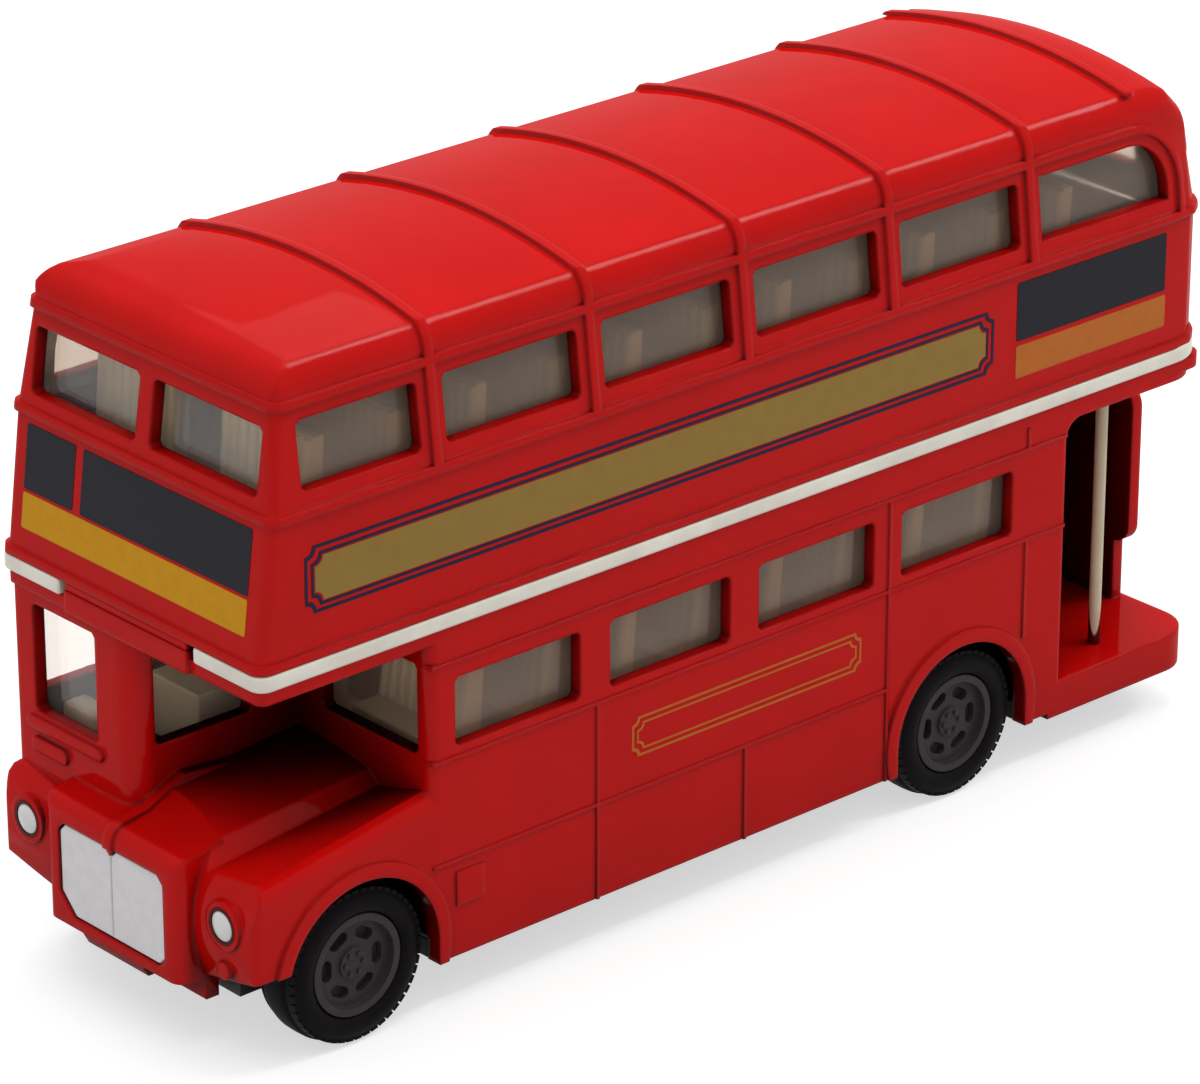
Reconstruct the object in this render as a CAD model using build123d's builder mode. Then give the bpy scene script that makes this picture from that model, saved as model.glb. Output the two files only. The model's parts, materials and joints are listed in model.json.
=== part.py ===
from build123d import *
import math
import os

os.makedirs("parts", exist_ok=True)

# Toy half-cab double-decker bus with an open rear platform, in millimetres.
# +X is forward, +Y the kerb side with the platform entrance, +Z up, ground at Z = 0.

# Lengths along the toy
FRONT_BAY = 23.0
BAY = 18.05
QUARTER_PANEL = 5.3
PLATFORM = 19.5
LENGTH = FRONT_BAY + 4 * BAY + QUARTER_PANEL + PLATFORM
FRONT_X = LENGTH / 2
REAR_X = -LENGTH / 2
BODY_REAR_X = REAR_X + 0.5
FIRST_PILLAR_X = FRONT_X - FRONT_BAY
PLATFORM_FRONT_X = REAR_X + PLATFORM
PILLARS_X = [FIRST_PILLAR_X - BAY * number for number in range(5)]

# Shell
HALF_WIDTH = 17.9
WALL = 1.3
FRONT_RADIUS = 1.0
REAR_RADIUS = 4.2
FIT = 0.1
PILLAR_WIDTH = 2.8
WINDOW_CUT = 0.4

# Heights of the two decks
SKIRT_Z = 5.1
LOWER_TOP_Z = 37.2
BAND_HEIGHT = 1.6
UPPER_Z = LOWER_TOP_Z + BAND_HEIGHT
WAIST_Z = UPPER_Z + 13.5
GUTTER_Z = WAIST_Z + 9.9

# Roof: a cove above each gutter, a shallow crown, a domed front and a rounded tail
SHOULDER_RISE = 2.8
CROWN_RISE = 4.7
COVE_BULGE = 0.35
SHOULDER_THINNING = 0.9
CROWN_Z = GUTTER_Z + CROWN_RISE
GUTTER_HALF = HALF_WIDTH - 1.2
SHOULDER_HALF = HALF_WIDTH - 2.4
DOME_LENGTH = 13.4
DOME_STEP = 1.6
DOME_SINK = 0.3
DOME_FULLNESS = 0.6
TAIL_LENGTH = 7.5
TAIL_DROP = 12.0
TAIL_ANGLES = (0, 20, 40, 55, 68, 80, 90)
TAIL_START_X = BODY_REAR_X + TAIL_LENGTH
REAR_RIB_X = PILLARS_X[4] - 14.0

# Upper deck: the front leans back as it rises
UPPER_FRONT_X = FRONT_X - 3.4
WAIST_FRONT_X = UPPER_FRONT_X - 1.7
GUTTER_FRONT_X = WAIST_FRONT_X - 1.4
RIB_WIDTH = 1.0
BEAD_PROUD = 0.4
BEAD_HEIGHT = 0.8
UPPER_SILL_Z = WAIST_Z + 1.8
UPPER_HEAD_Z = GUTTER_Z - 1.9
FRONT_PILLAR_HALF = 0.95
FRONT_POST = 2.0
FRONT_WINDOW_DROP = 0.35
FRONT_WINDOW_MARGIN = 1.1
BAND_PROUD = 0.45
TAIL_WINDOW_REAR_X = BODY_REAR_X + 5.9
TAIL_WINDOW_RADIUS = 5.0
TAIL_MOULDING_GAP = 1.2

# Lower deck
LOWER_HEAD_Z = LOWER_TOP_Z - 5.1
LOWER_SILL_Z = LOWER_HEAD_Z - 6.6
BULKHEAD_X = FIRST_PILLAR_X + 1.0
PLATFORM_Z = 8.2
PLATFORM_BOTTOM_Z = 4.5
ENTRANCE_TOP_Z = LOWER_TOP_Z - 2.0
ENTRANCE_RADIUS = 2.0
CANOPY_Z = LOWER_TOP_Z - 1.3
CANOPY_RADIUS = 2.0
REAR_WALL_EDGE_Y = HALF_WIDTH - 7.9
REAR_WALL_STEP = 1.9
REAR_WALL_STEP_Z = PLATFORM_Z + 6.4
REAR_WALL_TOP_Z = ENTRANCE_TOP_Z - 4.2
LINE_WIDTH = 0.35
LINE_PROUD = 0.2

# Half cab on the off side, bonnet, wings and radiator cowl
CAB_FRONT_X = FRONT_X - 3.7
CAB_INNER_Y = -0.5
CAB_RADIUS = 1.2
CAB_INNER_RADIUS = 2.2
CAB_FLOOR_Z = 19.4
WING_FRONT_X = FRONT_X - 1.9
WING_FOOT_Z = 9.9
WING_INNER_FOOT_Z = 7.8
NOSE_ROOF_Z = 16.9
BONNET_HALF = 9.2
VALLEY_Y = 10.6
WING_EDGE = 1.2
RIDGE_PROUD = 0.3
RIDGE_WIDTH = 1.2
COWL_FRONT_X = FRONT_X - RIDGE_PROUD
COWL_HALF = 9.6
COWL_FOOT_Z = 7.2
COWL_LIP_Z = 6.1
COWL_LIP_HALF = 4.3
COWL_LEAN = 0.6
COWL_SHOULDER_Z = 17.7
COWL_TOP_Z = 19.2
LAMP_Y = HALF_WIDTH - 4.0
LAMP_Z = 14.4
LAMP_RADIUS = 1.6
LAMP_SIDES = 16
BEZEL_RADIUS = 2.3
BEZEL_PROUD = 0.25
LAMP_POCKET = 0.4
FOG_LAMP_RADIUS = 0.85
FOG_LAMP_Z = 10.1
GRILLE_HALF = 7.35
GRILLE_BOTTOM_Z = 8.3
GRILLE_TOP_Z = 17.0
GRILLE_DEPTH = 0.6
GRILLE_RECESS = 0.15

# Running gear
WHEEL_RADIUS = 7.65
FRONT_AXLE_X = FRONT_X - 13.9
REAR_AXLE_X = PLATFORM_FRONT_X + 13.3
TYRE_WIDTH = 5.7
WHEEL_OUTER_Y = HALF_WIDTH - 0.4
HUB_RADIUS = 4.85
AXLE_RADIUS = 0.95
RUNNING_CLEARANCE = 0.06
PRESS_CLEARANCE = 0.02
ARCH_RADIUS = 8.5
ARCH_LIP = 1.4
BASE_BOTTOM_Z = 5.2
BASE_TOP_Z = 7.0
SCREW_RADIUS = 1.05
SCREW_HEAD_RADIUS = 2.2
SCREW_SETBACK = 3.0
BOSS_RADIUS = 3.2
BOSS_SIDES = 8
GLASS = 0.8
SEAT_FLOOR = 0.9
LOWER_FLOOR_Z = LOWER_SILL_Z - 8.1

SIDES = (("left", 1), ("right", -1))
WHEEL_INNER_Y = WHEEL_OUTER_Y - TYRE_WIDTH
AXLES = (("front", FRONT_AXLE_X), ("rear", REAR_AXLE_X))
SCREWS = (("front", BULKHEAD_X - WALL - SCREW_SETBACK), ("rear", PLATFORM_FRONT_X + WALL + SCREW_SETBACK))


def roof_arch(inset, drop=0.0, narrow=0.0):
    """Draw the roof's arch, or the hollow's plain ceiling, and return the gutter's half width and height."""
    half = GUTTER_HALF - inset - narrow
    gutter = GUTTER_Z - drop
    shoulder_y = SHOULDER_HALF - SHOULDER_THINNING * inset - narrow
    shoulder_z = gutter + SHOULDER_RISE - SHOULDER_THINNING * inset
    crown = gutter + CROWN_RISE - inset
    if inset > 0:
        Polyline((half, gutter), (shoulder_y, shoulder_z), (0, crown), (-shoulder_y, shoulder_z), (-half, gutter))
        return half, gutter
    cove_y = (half + shoulder_y) / 2 + COVE_BULGE
    cove_z = (gutter + shoulder_z) / 2 + COVE_BULGE / 2
    ThreePointArc((half, gutter), (cove_y, cove_z), (shoulder_y, shoulder_z))
    ThreePointArc((shoulder_y, shoulder_z), (0, crown), (-shoulder_y, shoulder_z))
    ThreePointArc((-shoulder_y, shoulder_z), (-cove_y, cove_z), (-half, gutter))
    return half, gutter


def plan_outline(front, rear, half, front_radius, rear_radius):
    """Draw one storey's plan with its own radius at the front and rear corners."""
    with Locations(((front + rear) / 2, 0)):
        Rectangle(front - rear, 2 * half)
    if front_radius > FIT:
        fillet(vertices().group_by(Axis.X)[-1], front_radius)
    if rear_radius > FIT:
        fillet(vertices().group_by(Axis.X)[0], rear_radius)


def upper_form(inset):
    """Make the upper deck's outer form, the hollow when inset by a wall, or its mouldings when outset."""
    sections = (
        # height, front face, half width
        (UPPER_Z, UPPER_FRONT_X, HALF_WIDTH),
        (WAIST_Z, WAIST_FRONT_X, HALF_WIDTH),
        (GUTTER_Z, GUTTER_FRONT_X, GUTTER_HALF),
    )
    dome_front = GUTTER_FRONT_X - inset
    dome_shoulder = (dome_front - DOME_STEP, GUTTER_Z + SHOULDER_RISE - DOME_SINK - SHOULDER_THINNING * inset)
    dome_top = GUTTER_Z + CROWN_RISE - inset + COVE_BULGE
    with BuildPart() as form:
        with BuildSketch(Plane.YZ.offset(TAIL_START_X)):
            with BuildLine():
                half, gutter = roof_arch(inset)
                Line((-half, gutter), (half, gutter))
            make_face()
        extrude(amount=LENGTH)
        with BuildSketch(Plane.XY.offset(GUTTER_Z)):
            plan_outline(dome_front, TAIL_START_X, GUTTER_HALF - inset, FRONT_RADIUS - inset, 0)
        extrude(amount=2 * CROWN_RISE, mode=Mode.INTERSECT)
        with BuildSketch(Plane.XZ):
            with BuildLine():
                Polyline(
                    (dome_front - DOME_LENGTH, dome_top), (REAR_X, dome_top), (REAR_X, GUTTER_Z), (dome_front, GUTTER_Z)
                )
                ThreePointArc(
                    (dome_front, GUTTER_Z),
                    ((dome_front + dome_shoulder[0]) / 2 + COVE_BULGE, (GUTTER_Z + dome_shoulder[1]) / 2 + COVE_BULGE / 2),
                    dome_shoulder,
                )
                ThreePointArc(
                    dome_shoulder,
                    (
                        dome_shoulder[0] - DOME_LENGTH / 3,
                        dome_shoulder[1] + DOME_FULLNESS * (dome_top - dome_shoulder[1]),
                    ),
                    (dome_front - DOME_LENGTH, dome_top),
                )
            make_face()
        extrude(amount=2 * HALF_WIDTH, both=True, mode=Mode.INTERSECT)
        for height, front, half in sections:
            with BuildSketch(Plane.XY.offset(height)):
                plan_outline(front - inset, TAIL_START_X, half - inset, FRONT_RADIUS - inset, 0)
        loft(ruled=True)
        for angle in TAIL_ANGLES:
            turn = math.radians(angle)
            drop = (TAIL_DROP - inset) * (1 - math.cos(turn))
            x = TAIL_START_X - (TAIL_LENGTH - inset) * math.sin(turn)
            radius = REAR_RADIUS - inset
            into_corner = max(0, BODY_REAR_X + REAR_RADIUS - x)
            narrow = radius - math.sqrt(max(0, radius**2 - into_corner**2))
            side = HALF_WIDTH - inset - narrow
            with BuildSketch(Plane.YZ.offset(x)):
                with BuildLine():
                    half, gutter = roof_arch(inset, drop, narrow)
                    waist = min(WAIST_Z, gutter - BEAD_HEIGHT)
                    Polyline(
                        (-half, gutter), (-side, waist), (-side, UPPER_Z), (side, UPPER_Z), (side, waist), (half, gutter)
                    )
                make_face()
        loft(ruled=True)
    return form.part


def panel(low, high):
    """Draw one opening or pad between two corners, with its own corners cut off."""
    cut = WINDOW_CUT
    Polygon(
        (low[0] + cut, low[1]),
        (high[0] - cut, low[1]),
        (high[0], low[1] + cut),
        (high[0], high[1] - cut),
        (high[0] - cut, high[1]),
        (low[0] + cut, high[1]),
        (low[0], high[1] - cut),
        (low[0], low[1] + cut),
        align=None,
    )


# Ribs, beads, gutter and tail moulding of the upper deck, as slices of a slightly larger form
RIBS = [(x, WAIST_Z) for x in PILLARS_X] + [(REAR_RIB_X, GUTTER_Z + SHOULDER_RISE)]
with BuildPart() as mouldings:
    add(upper_form(-BEAD_PROUD))
    with BuildSketch(Plane.XZ):
        for gap, mode in ((TAIL_MOULDING_GAP + BEAD_HEIGHT, Mode.ADD), (TAIL_MOULDING_GAP, Mode.SUBTRACT)):
            radius = TAIL_WINDOW_RADIUS + gap
            rear = TAIL_WINDOW_REAR_X - gap
            top = UPPER_HEAD_Z + gap
            with BuildLine():
                Polyline((rear, top - radius), (rear, WAIST_Z), (LENGTH, WAIST_Z), (LENGTH, top), (rear + radius, top))
                RadiusArc((rear + radius, top), (rear, top - radius), -radius)
            make_face(mode=mode)
        with Locations((0, UPPER_Z + BEAD_HEIGHT / 2), (0, WAIST_Z)):
            Rectangle(2 * LENGTH, BEAD_HEIGHT)
        for x, bottom in RIBS:
            with Locations((x, (bottom + CROWN_Z) / 2 + BEAD_PROUD)):
                Rectangle(RIB_WIDTH, CROWN_Z - bottom + 2 * BEAD_PROUD)
    extrude(amount=2 * HALF_WIDTH, both=True, mode=Mode.INTERSECT)

# Upper deck casting
UPPER_WINDOWS = [(PILLARS_X[0] + PILLAR_WIDTH / 2, GUTTER_FRONT_X - FRONT_POST)]
UPPER_WINDOWS += [(x - BAY + PILLAR_WIDTH / 2, x - PILLAR_WIDTH / 2) for x in PILLARS_X[:4]]
FRONT_WINDOW_EDGE = GUTTER_HALF - FRONT_WINDOW_MARGIN
FRONT_SILL_Z = UPPER_SILL_Z - FRONT_WINDOW_DROP
FRONT_HEAD_Z = UPPER_HEAD_Z - FRONT_WINDOW_DROP
with BuildPart() as upper_shell:
    add(upper_form(0))
    add(mouldings.part)
    add(upper_form(WALL), mode=Mode.SUBTRACT)
    with BuildSketch(Plane.XZ):
        for rear, front in UPPER_WINDOWS:
            panel((rear, UPPER_SILL_Z), (front, UPPER_HEAD_Z))
        with BuildLine():
            tail_front = PILLARS_X[4] - PILLAR_WIDTH / 2
            tail_turn = TAIL_WINDOW_REAR_X + TAIL_WINDOW_RADIUS
            Polyline(
                (tail_turn, UPPER_HEAD_Z),
                (tail_front, UPPER_HEAD_Z),
                (tail_front, UPPER_SILL_Z),
                (TAIL_WINDOW_REAR_X, UPPER_SILL_Z),
                (TAIL_WINDOW_REAR_X, UPPER_HEAD_Z - TAIL_WINDOW_RADIUS),
            )
            RadiusArc(
                (TAIL_WINDOW_REAR_X, UPPER_HEAD_Z - TAIL_WINDOW_RADIUS), (tail_turn, UPPER_HEAD_Z), TAIL_WINDOW_RADIUS
            )
        make_face()
    extrude(amount=2 * HALF_WIDTH, both=True, mode=Mode.SUBTRACT)
    with BuildSketch(Plane.YZ.offset(GUTTER_FRONT_X - 3 * WALL)):
        panel((FRONT_PILLAR_HALF, FRONT_SILL_Z), (FRONT_WINDOW_EDGE, FRONT_HEAD_Z))
        panel((-FRONT_WINDOW_EDGE, FRONT_SILL_Z), (-FRONT_PILLAR_HALF, FRONT_HEAD_Z))
    extrude(amount=FRONT_BAY, mode=Mode.SUBTRACT)
    with BuildSketch(Plane.YZ.offset(BODY_REAR_X + 3 * WALL)):
        panel((-HALF_WIDTH / 2, UPPER_SILL_Z), (HALF_WIDTH / 2, UPPER_HEAD_Z))
    extrude(amount=-FRONT_BAY, mode=Mode.SUBTRACT)
upper_shell.part.label = "upper_shell"
export_step(upper_shell.part, "parts/upper_shell.step")

# Cream band: the upper floor's edge shows between the two castings, open at the front for a locating tab
NOTCH = (-9.6, 9.2)
NOTCH_DEPTH = 2.6
with BuildPart() as waist_band:
    with BuildSketch(Plane.XY.offset(LOWER_TOP_Z)):
        plan_outline(
            UPPER_FRONT_X + BAND_PROUD,
            BODY_REAR_X - BAND_PROUD,
            HALF_WIDTH + BAND_PROUD,
            FRONT_RADIUS + BAND_PROUD,
            REAR_RADIUS + BAND_PROUD,
        )
        with Locations((UPPER_FRONT_X, (NOTCH[0] + NOTCH[1]) / 2)):
            Rectangle(2 * NOTCH_DEPTH, NOTCH[1] - NOTCH[0], mode=Mode.SUBTRACT)
    extrude(amount=BAND_HEIGHT)
waist_band.part.label = "waist_band"
export_step(waist_band.part, "parts/waist_band.step")

# Upper glazing: one clear liner behind all the upper windows, leaning in with the walls
GLASS_HEIGHTS = (UPPER_SILL_Z - 1.2, GUTTER_Z - 0.8)
GLASS_REAR_X = TAIL_WINDOW_REAR_X - 0.4
with BuildPart() as upper_glazing:
    for thickness, mode in ((0, Mode.ADD), (GLASS, Mode.SUBTRACT)):
        for height in GLASS_HEIGHTS:
            rise = (height - WAIST_Z) / (GUTTER_Z - WAIST_Z)
            front = WAIST_FRONT_X + rise * (GUTTER_FRONT_X - WAIST_FRONT_X) - WALL - FIT - thickness
            half = HALF_WIDTH + rise * (GUTTER_HALF - HALF_WIDTH) - WALL - FIT - thickness
            with BuildSketch(Plane.XY.offset(height)):
                plan_outline(front, GLASS_REAR_X + thickness, half, 0, 0)
        loft(ruled=True, mode=mode)
upper_glazing.part.label = "upper_glazing"
export_step(upper_glazing.part, "parts/upper_glazing.step")


def seat_profile(back_x, floor_z, height):
    """Draw one seat in side view: a squab on a plinth and a leaning back."""
    Polyline(
        (back_x, floor_z),
        (back_x - SEAT_LEAN, floor_z + height),
        (back_x - SEAT_LEAN + SEAT_BACK, floor_z + height),
        (back_x + SEAT_BACK, floor_z + SQUAB_RISE),
        (back_x + SQUAB, floor_z + SQUAB_RISE),
        (back_x + SQUAB, floor_z),
        close=True,
    )


# Seat mouldings: a tray with rows of double seats either side of a gangway
SEAT_PITCH = BAY / 2
SEAT_BACK = 1.3
SEAT_LEAN = 1.0
SQUAB = 4.4
SQUAB_RISE = 6.0
GANGWAY_HALF = 3.0
SEAT_EDGE_Y = GUTTER_HALF - WALL - GLASS - 2 * FIT
SALOON_ENDS = (PLATFORM_FRONT_X + WALL + 2 * FIT, BULKHEAD_X - WALL - 2 * FIT)
SEAT_TRAYS = (
    # node, tray's underside, rear end, front end, front row, number of rows, height of the backs
    ("upper_seats", UPPER_Z, TAIL_START_X, WAIST_FRONT_X - 2.5, WAIST_FRONT_X - 7.4, 11, 17.3),
    ("lower_seats", LOWER_FLOOR_Z, SALOON_ENDS[0], SALOON_ENDS[1], SALOON_ENDS[1] - 6.5, 8, 12.7),
)
for node, floor_z, rear, front, first_row, rows, height in SEAT_TRAYS:
    with BuildPart() as seats:
        with BuildSketch(Plane.XY.offset(floor_z)):
            with Locations(((rear + front) / 2, 0)):
                Rectangle(front - rear, 2 * (HALF_WIDTH - WALL - FIT))
        extrude(amount=SEAT_FLOOR)
        for _, side in SIDES:
            with BuildSketch(Plane.XZ.offset(-side * GANGWAY_HALF)):
                for row in range(rows):
                    with BuildLine():
                        seat_profile(first_row - row * SEAT_PITCH, floor_z + SEAT_FLOOR, height)
                    make_face()
            extrude(amount=-side * (SEAT_EDGE_Y - GANGWAY_HALF))
    seats.part.label = node
    export_step(seats.part, f"parts/{node}.step")

# Nose: a bonnet with a valley and a wing at each side, rising towards the bulkhead
NOSE_REAR_X = BULKHEAD_X - 3 * WALL
NOSE_SECTIONS = (
    # place, wing edge, valley, bonnet shoulder, bonnet crown
    (NOSE_REAR_X, 22.4, 20.5, 21.5, 22.4),
    (FRONT_X, 18.1, 17.6, 19.6, 20.4),
)
WING_SETBACK = 1.2
WING_SHOULDER_Z = 18.2
WING_HEEL_Z = SKIRT_Z + 2.0
BONNET_PROFILE = (
    # place, height: the bonnet's top edge from its leading edge to its break
    (WING_FRONT_X - 2 * WING_SETBACK, COWL_TOP_Z + 0.4),
    (WING_FRONT_X - 6.5, COWL_TOP_Z + 2.4),
)
with BuildPart() as nose:
    for x, wing, valley, shoulder, crown in NOSE_SECTIONS:
        half_section = [
            (HALF_WIDTH, SKIRT_Z),
            (HALF_WIDTH, wing - WING_EDGE),
            (HALF_WIDTH - WING_EDGE / 3, wing - WING_EDGE / 3),
            (HALF_WIDTH - WING_EDGE, wing),
            (VALLEY_Y, valley),
            (BONNET_HALF, shoulder),
        ]
        with BuildSketch(Plane.YZ.offset(x)):
            with BuildLine():
                Polyline(*[(-y, z) for y, z in reversed(half_section)], *half_section)
                ThreePointArc((BONNET_HALF, shoulder), (0, crown), (-BONNET_HALF, shoulder))
            make_face()
    loft(ruled=True)
    with BuildSketch(Plane.XZ):
        with BuildLine():
            Polyline(
                (WING_FRONT_X - WING_SETBACK, WING_HEEL_Z),
                (WING_FRONT_X - WING_SETBACK, 0),
                (NOSE_REAR_X, 0),
                (NOSE_REAR_X, LOWER_SILL_Z),
                *reversed(BONNET_PROFILE),
                (WING_FRONT_X - WING_SETBACK, WING_SHOULDER_Z),
            )
            ThreePointArc(
                (WING_FRONT_X - WING_SETBACK, WING_SHOULDER_Z),
                (WING_FRONT_X, (WING_SHOULDER_Z + WING_HEEL_Z) / 2),
                (WING_FRONT_X - WING_SETBACK, WING_HEEL_Z),
            )
        make_face()
    extrude(amount=2 * HALF_WIDTH, both=True, mode=Mode.INTERSECT)
    with BuildSketch(Plane.XY):
        plan_outline(WING_FRONT_X, NOSE_REAR_X, HALF_WIDTH, FRONT_RADIUS, 0)
    extrude(amount=LOWER_TOP_Z, mode=Mode.INTERSECT)
    with BuildSketch(Plane.YZ.offset(FRONT_AXLE_X)):
        for _, side in SIDES:
            Polygon(
                (side * COWL_HALF, 0),
                (side * COWL_HALF, WING_INNER_FOOT_Z),
                (side * HALF_WIDTH, WING_FOOT_Z),
                (side * HALF_WIDTH, 0),
                align=None,
            )
    extrude(amount=FRONT_BAY, mode=Mode.SUBTRACT)
    with BuildSketch(Plane.YZ.offset(WING_FRONT_X + BEZEL_PROUD)):
        for _, side in SIDES:
            with Locations((side * LAMP_Y, LAMP_Z)):
                RegularPolygon(BEZEL_RADIUS, LAMP_SIDES)
        with Locations((LAMP_Y, FOG_LAMP_Z)):
            RegularPolygon(FOG_LAMP_RADIUS, LAMP_SIDES)
    extrude(amount=-2 * WALL)
    with BuildSketch(Plane.YZ.offset(WING_FRONT_X + BEZEL_PROUD)):
        for _, side in SIDES:
            with Locations((side * LAMP_Y, LAMP_Z)):
                RegularPolygon(LAMP_RADIUS + FIT, LAMP_SIDES)
    extrude(amount=-LAMP_POCKET, mode=Mode.SUBTRACT)


def grille_outline(margin):
    """Draw the grille's shield, with one lower corner cut further than the other and a notch at the top."""
    half = GRILLE_HALF + margin
    top = GRILLE_TOP_Z + margin
    bottom = GRILLE_BOTTOM_Z - margin
    Polygon(
        (-half, bottom + GRILLE_FAR_CUT),
        (GRILLE_FAR_CUT - half, bottom),
        (half - GRILLE_CUT, bottom),
        (half, bottom + GRILLE_CUT),
        (half, top - GRILLE_CUT),
        (half - GRILLE_CUT, top),
        (GRILLE_NOTCH, top),
        (0, top - GRILLE_NOTCH),
        (-GRILLE_NOTCH, top),
        (GRILLE_CUT - half, top),
        (-half, top - GRILLE_CUT),
        align=None,
    )


# Radiator cowl: a rim round the grille, a lip below it and a ridge running back over the bonnet
COWL_REAR_X = FRONT_AXLE_X + ARCH_RADIUS
COWL_RADIUS = 1.4
COWL_ROUND = 1.6
GRILLE_CUT = 0.8
GRILLE_FAR_CUT = 2.0
GRILLE_NOTCH = 0.7
with BuildPart() as cowl:
    with BuildSketch(Plane.XY):
        plan_outline(COWL_FRONT_X, COWL_REAR_X, COWL_HALF, COWL_RADIUS, 0)
    extrude(amount=LOWER_TOP_Z)
    with BuildSketch(Plane.XZ):
        with BuildLine():
            Polyline(
                (COWL_FRONT_X, COWL_SHOULDER_Z),
                (COWL_FRONT_X, COWL_FOOT_Z),
                (COWL_FRONT_X - COWL_LEAN, COWL_LIP_Z),
                (COWL_REAR_X, COWL_LIP_Z),
                (COWL_REAR_X, COWL_TOP_Z + COWL_LEAN),
                (COWL_FRONT_X - COWL_ROUND, COWL_TOP_Z),
            )
            RadiusArc((COWL_FRONT_X - COWL_ROUND, COWL_TOP_Z), (COWL_FRONT_X, COWL_SHOULDER_Z), COWL_ROUND)
        make_face()
    extrude(amount=2 * HALF_WIDTH, both=True, mode=Mode.INTERSECT)
    with BuildSketch(Plane.YZ.offset(COWL_REAR_X)):
        for _, side in SIDES:
            with Locations((side * (COWL_LIP_HALF + HALF_WIDTH / 2), COWL_FOOT_Z / 2)):
                Rectangle(HALF_WIDTH, COWL_FOOT_Z)
    extrude(amount=FRONT_BAY, mode=Mode.SUBTRACT)
    with BuildSketch(Plane.YZ.offset(COWL_FRONT_X - GRILLE_DEPTH)):
        grille_outline(FIT)
    extrude(amount=FRONT_BAY, mode=Mode.SUBTRACT)
    with BuildSketch(Plane.XZ):
        with BuildLine():
            Polyline(
                (FRONT_X, COWL_SHOULDER_Z),
                (FRONT_X, GRILLE_TOP_Z + FIT),
                (FRONT_X - COWL_ROUND, NOSE_ROOF_Z),
                (BULKHEAD_X, NOSE_ROOF_Z),
                (BULKHEAD_X, COWL_TOP_Z + COWL_ROUND),
                *[(x, z + RIDGE_PROUD) for x, z in reversed(BONNET_PROFILE)],
                (COWL_FRONT_X - COWL_ROUND, COWL_TOP_Z + RIDGE_PROUD),
            )
            RadiusArc(
                (COWL_FRONT_X - COWL_ROUND, COWL_TOP_Z + RIDGE_PROUD), (FRONT_X, COWL_SHOULDER_Z), COWL_ROUND + RIDGE_PROUD
            )
        make_face()
    extrude(amount=RIDGE_WIDTH / 2, both=True)

# Lower deck casting: saloon, half cab, nose, canopy and platform in one
HEAD_LINE_Z = LOWER_HEAD_Z + 1.5
SILL_LINE_Z = LOWER_SILL_Z - 1.1
RAIL_LINE_Z = LOWER_SILL_Z - 11.1
LINE_X = [x - LINE_WIDTH for x in PILLARS_X]
PANEL_LINES = (
    # rear, front, bottom, top
    (PLATFORM_FRONT_X, BULKHEAD_X, HEAD_LINE_Z, HEAD_LINE_Z + LINE_WIDTH),
    (PLATFORM_FRONT_X, BULKHEAD_X, SILL_LINE_Z, SILL_LINE_Z + LINE_WIDTH),
    (LINE_X[3], BULKHEAD_X, RAIL_LINE_Z, RAIL_LINE_Z + LINE_WIDTH),
    (LINE_X[1], LINE_X[1] + LINE_WIDTH, SKIRT_Z, SILL_LINE_Z),
    (LINE_X[2], LINE_X[2] + LINE_WIDTH, SKIRT_Z, RAIL_LINE_Z),
    (LINE_X[3], LINE_X[3] + LINE_WIDTH, SKIRT_Z, HEAD_LINE_Z),
    (LINE_X[4], LINE_X[4] + LINE_WIDTH, RAIL_LINE_Z, SILL_LINE_Z),
    (LINE_X[4], LINE_X[4] + LINE_WIDTH, HEAD_LINE_Z, CANOPY_Z),
    (BULKHEAD_X - 5.8, BULKHEAD_X - 2.6, RAIL_LINE_Z - 4.3, RAIL_LINE_Z - 1.0),
)
CAB_WINDOW_Z = (LOWER_SILL_Z - 1.3, LOWER_HEAD_Z + 2.6)
CAB_PADS = (
    # far edge, near edge, bottom, top: the windscreen's sill and a pad under it
    (-15.6, -4.7, CAB_WINDOW_Z[0] - 1.6, CAB_WINDOW_Z[0] - 0.4),
    (-15.0, -9.9, CAB_WINDOW_Z[0] - 3.8, CAB_WINDOW_Z[0] - 2.4),
)
CAB_SIDE_REAR_X = BULKHEAD_X + 5.2
CAB_SIDE_FRONT_X = CAB_FRONT_X - 2.4
CAB_SIDE_Z = (CAB_WINDOW_Z[0] + 0.8, CAB_WINDOW_Z[1] - 0.3)
END_OPENINGS = (
    # place, depth, far edge, near edge, bottom, top: the rear window, doorway, windscreen and bulkhead window
    (REAR_X - WALL, 3 * WALL, -11.5, 0.0, LOWER_SILL_Z - 2.2, LOWER_HEAD_Z - 1.1),
    (PLATFORM_FRONT_X - WALL, 3 * WALL, -0.5, 8.5, LOWER_FLOOR_Z + SEAT_FLOOR, LOWER_HEAD_Z + 1.5),
    (CAB_FRONT_X - 2 * WALL, 4 * WALL, -14.6, -5.6, CAB_WINDOW_Z[0], CAB_WINDOW_Z[1]),
    (BULKHEAD_X - 2 * WALL, 4 * WALL, 3.0, HALF_WIDTH - 1.8, CAB_WINDOW_Z[0] + 0.8, CAB_WINDOW_Z[1] - 1.1),
)
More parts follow.
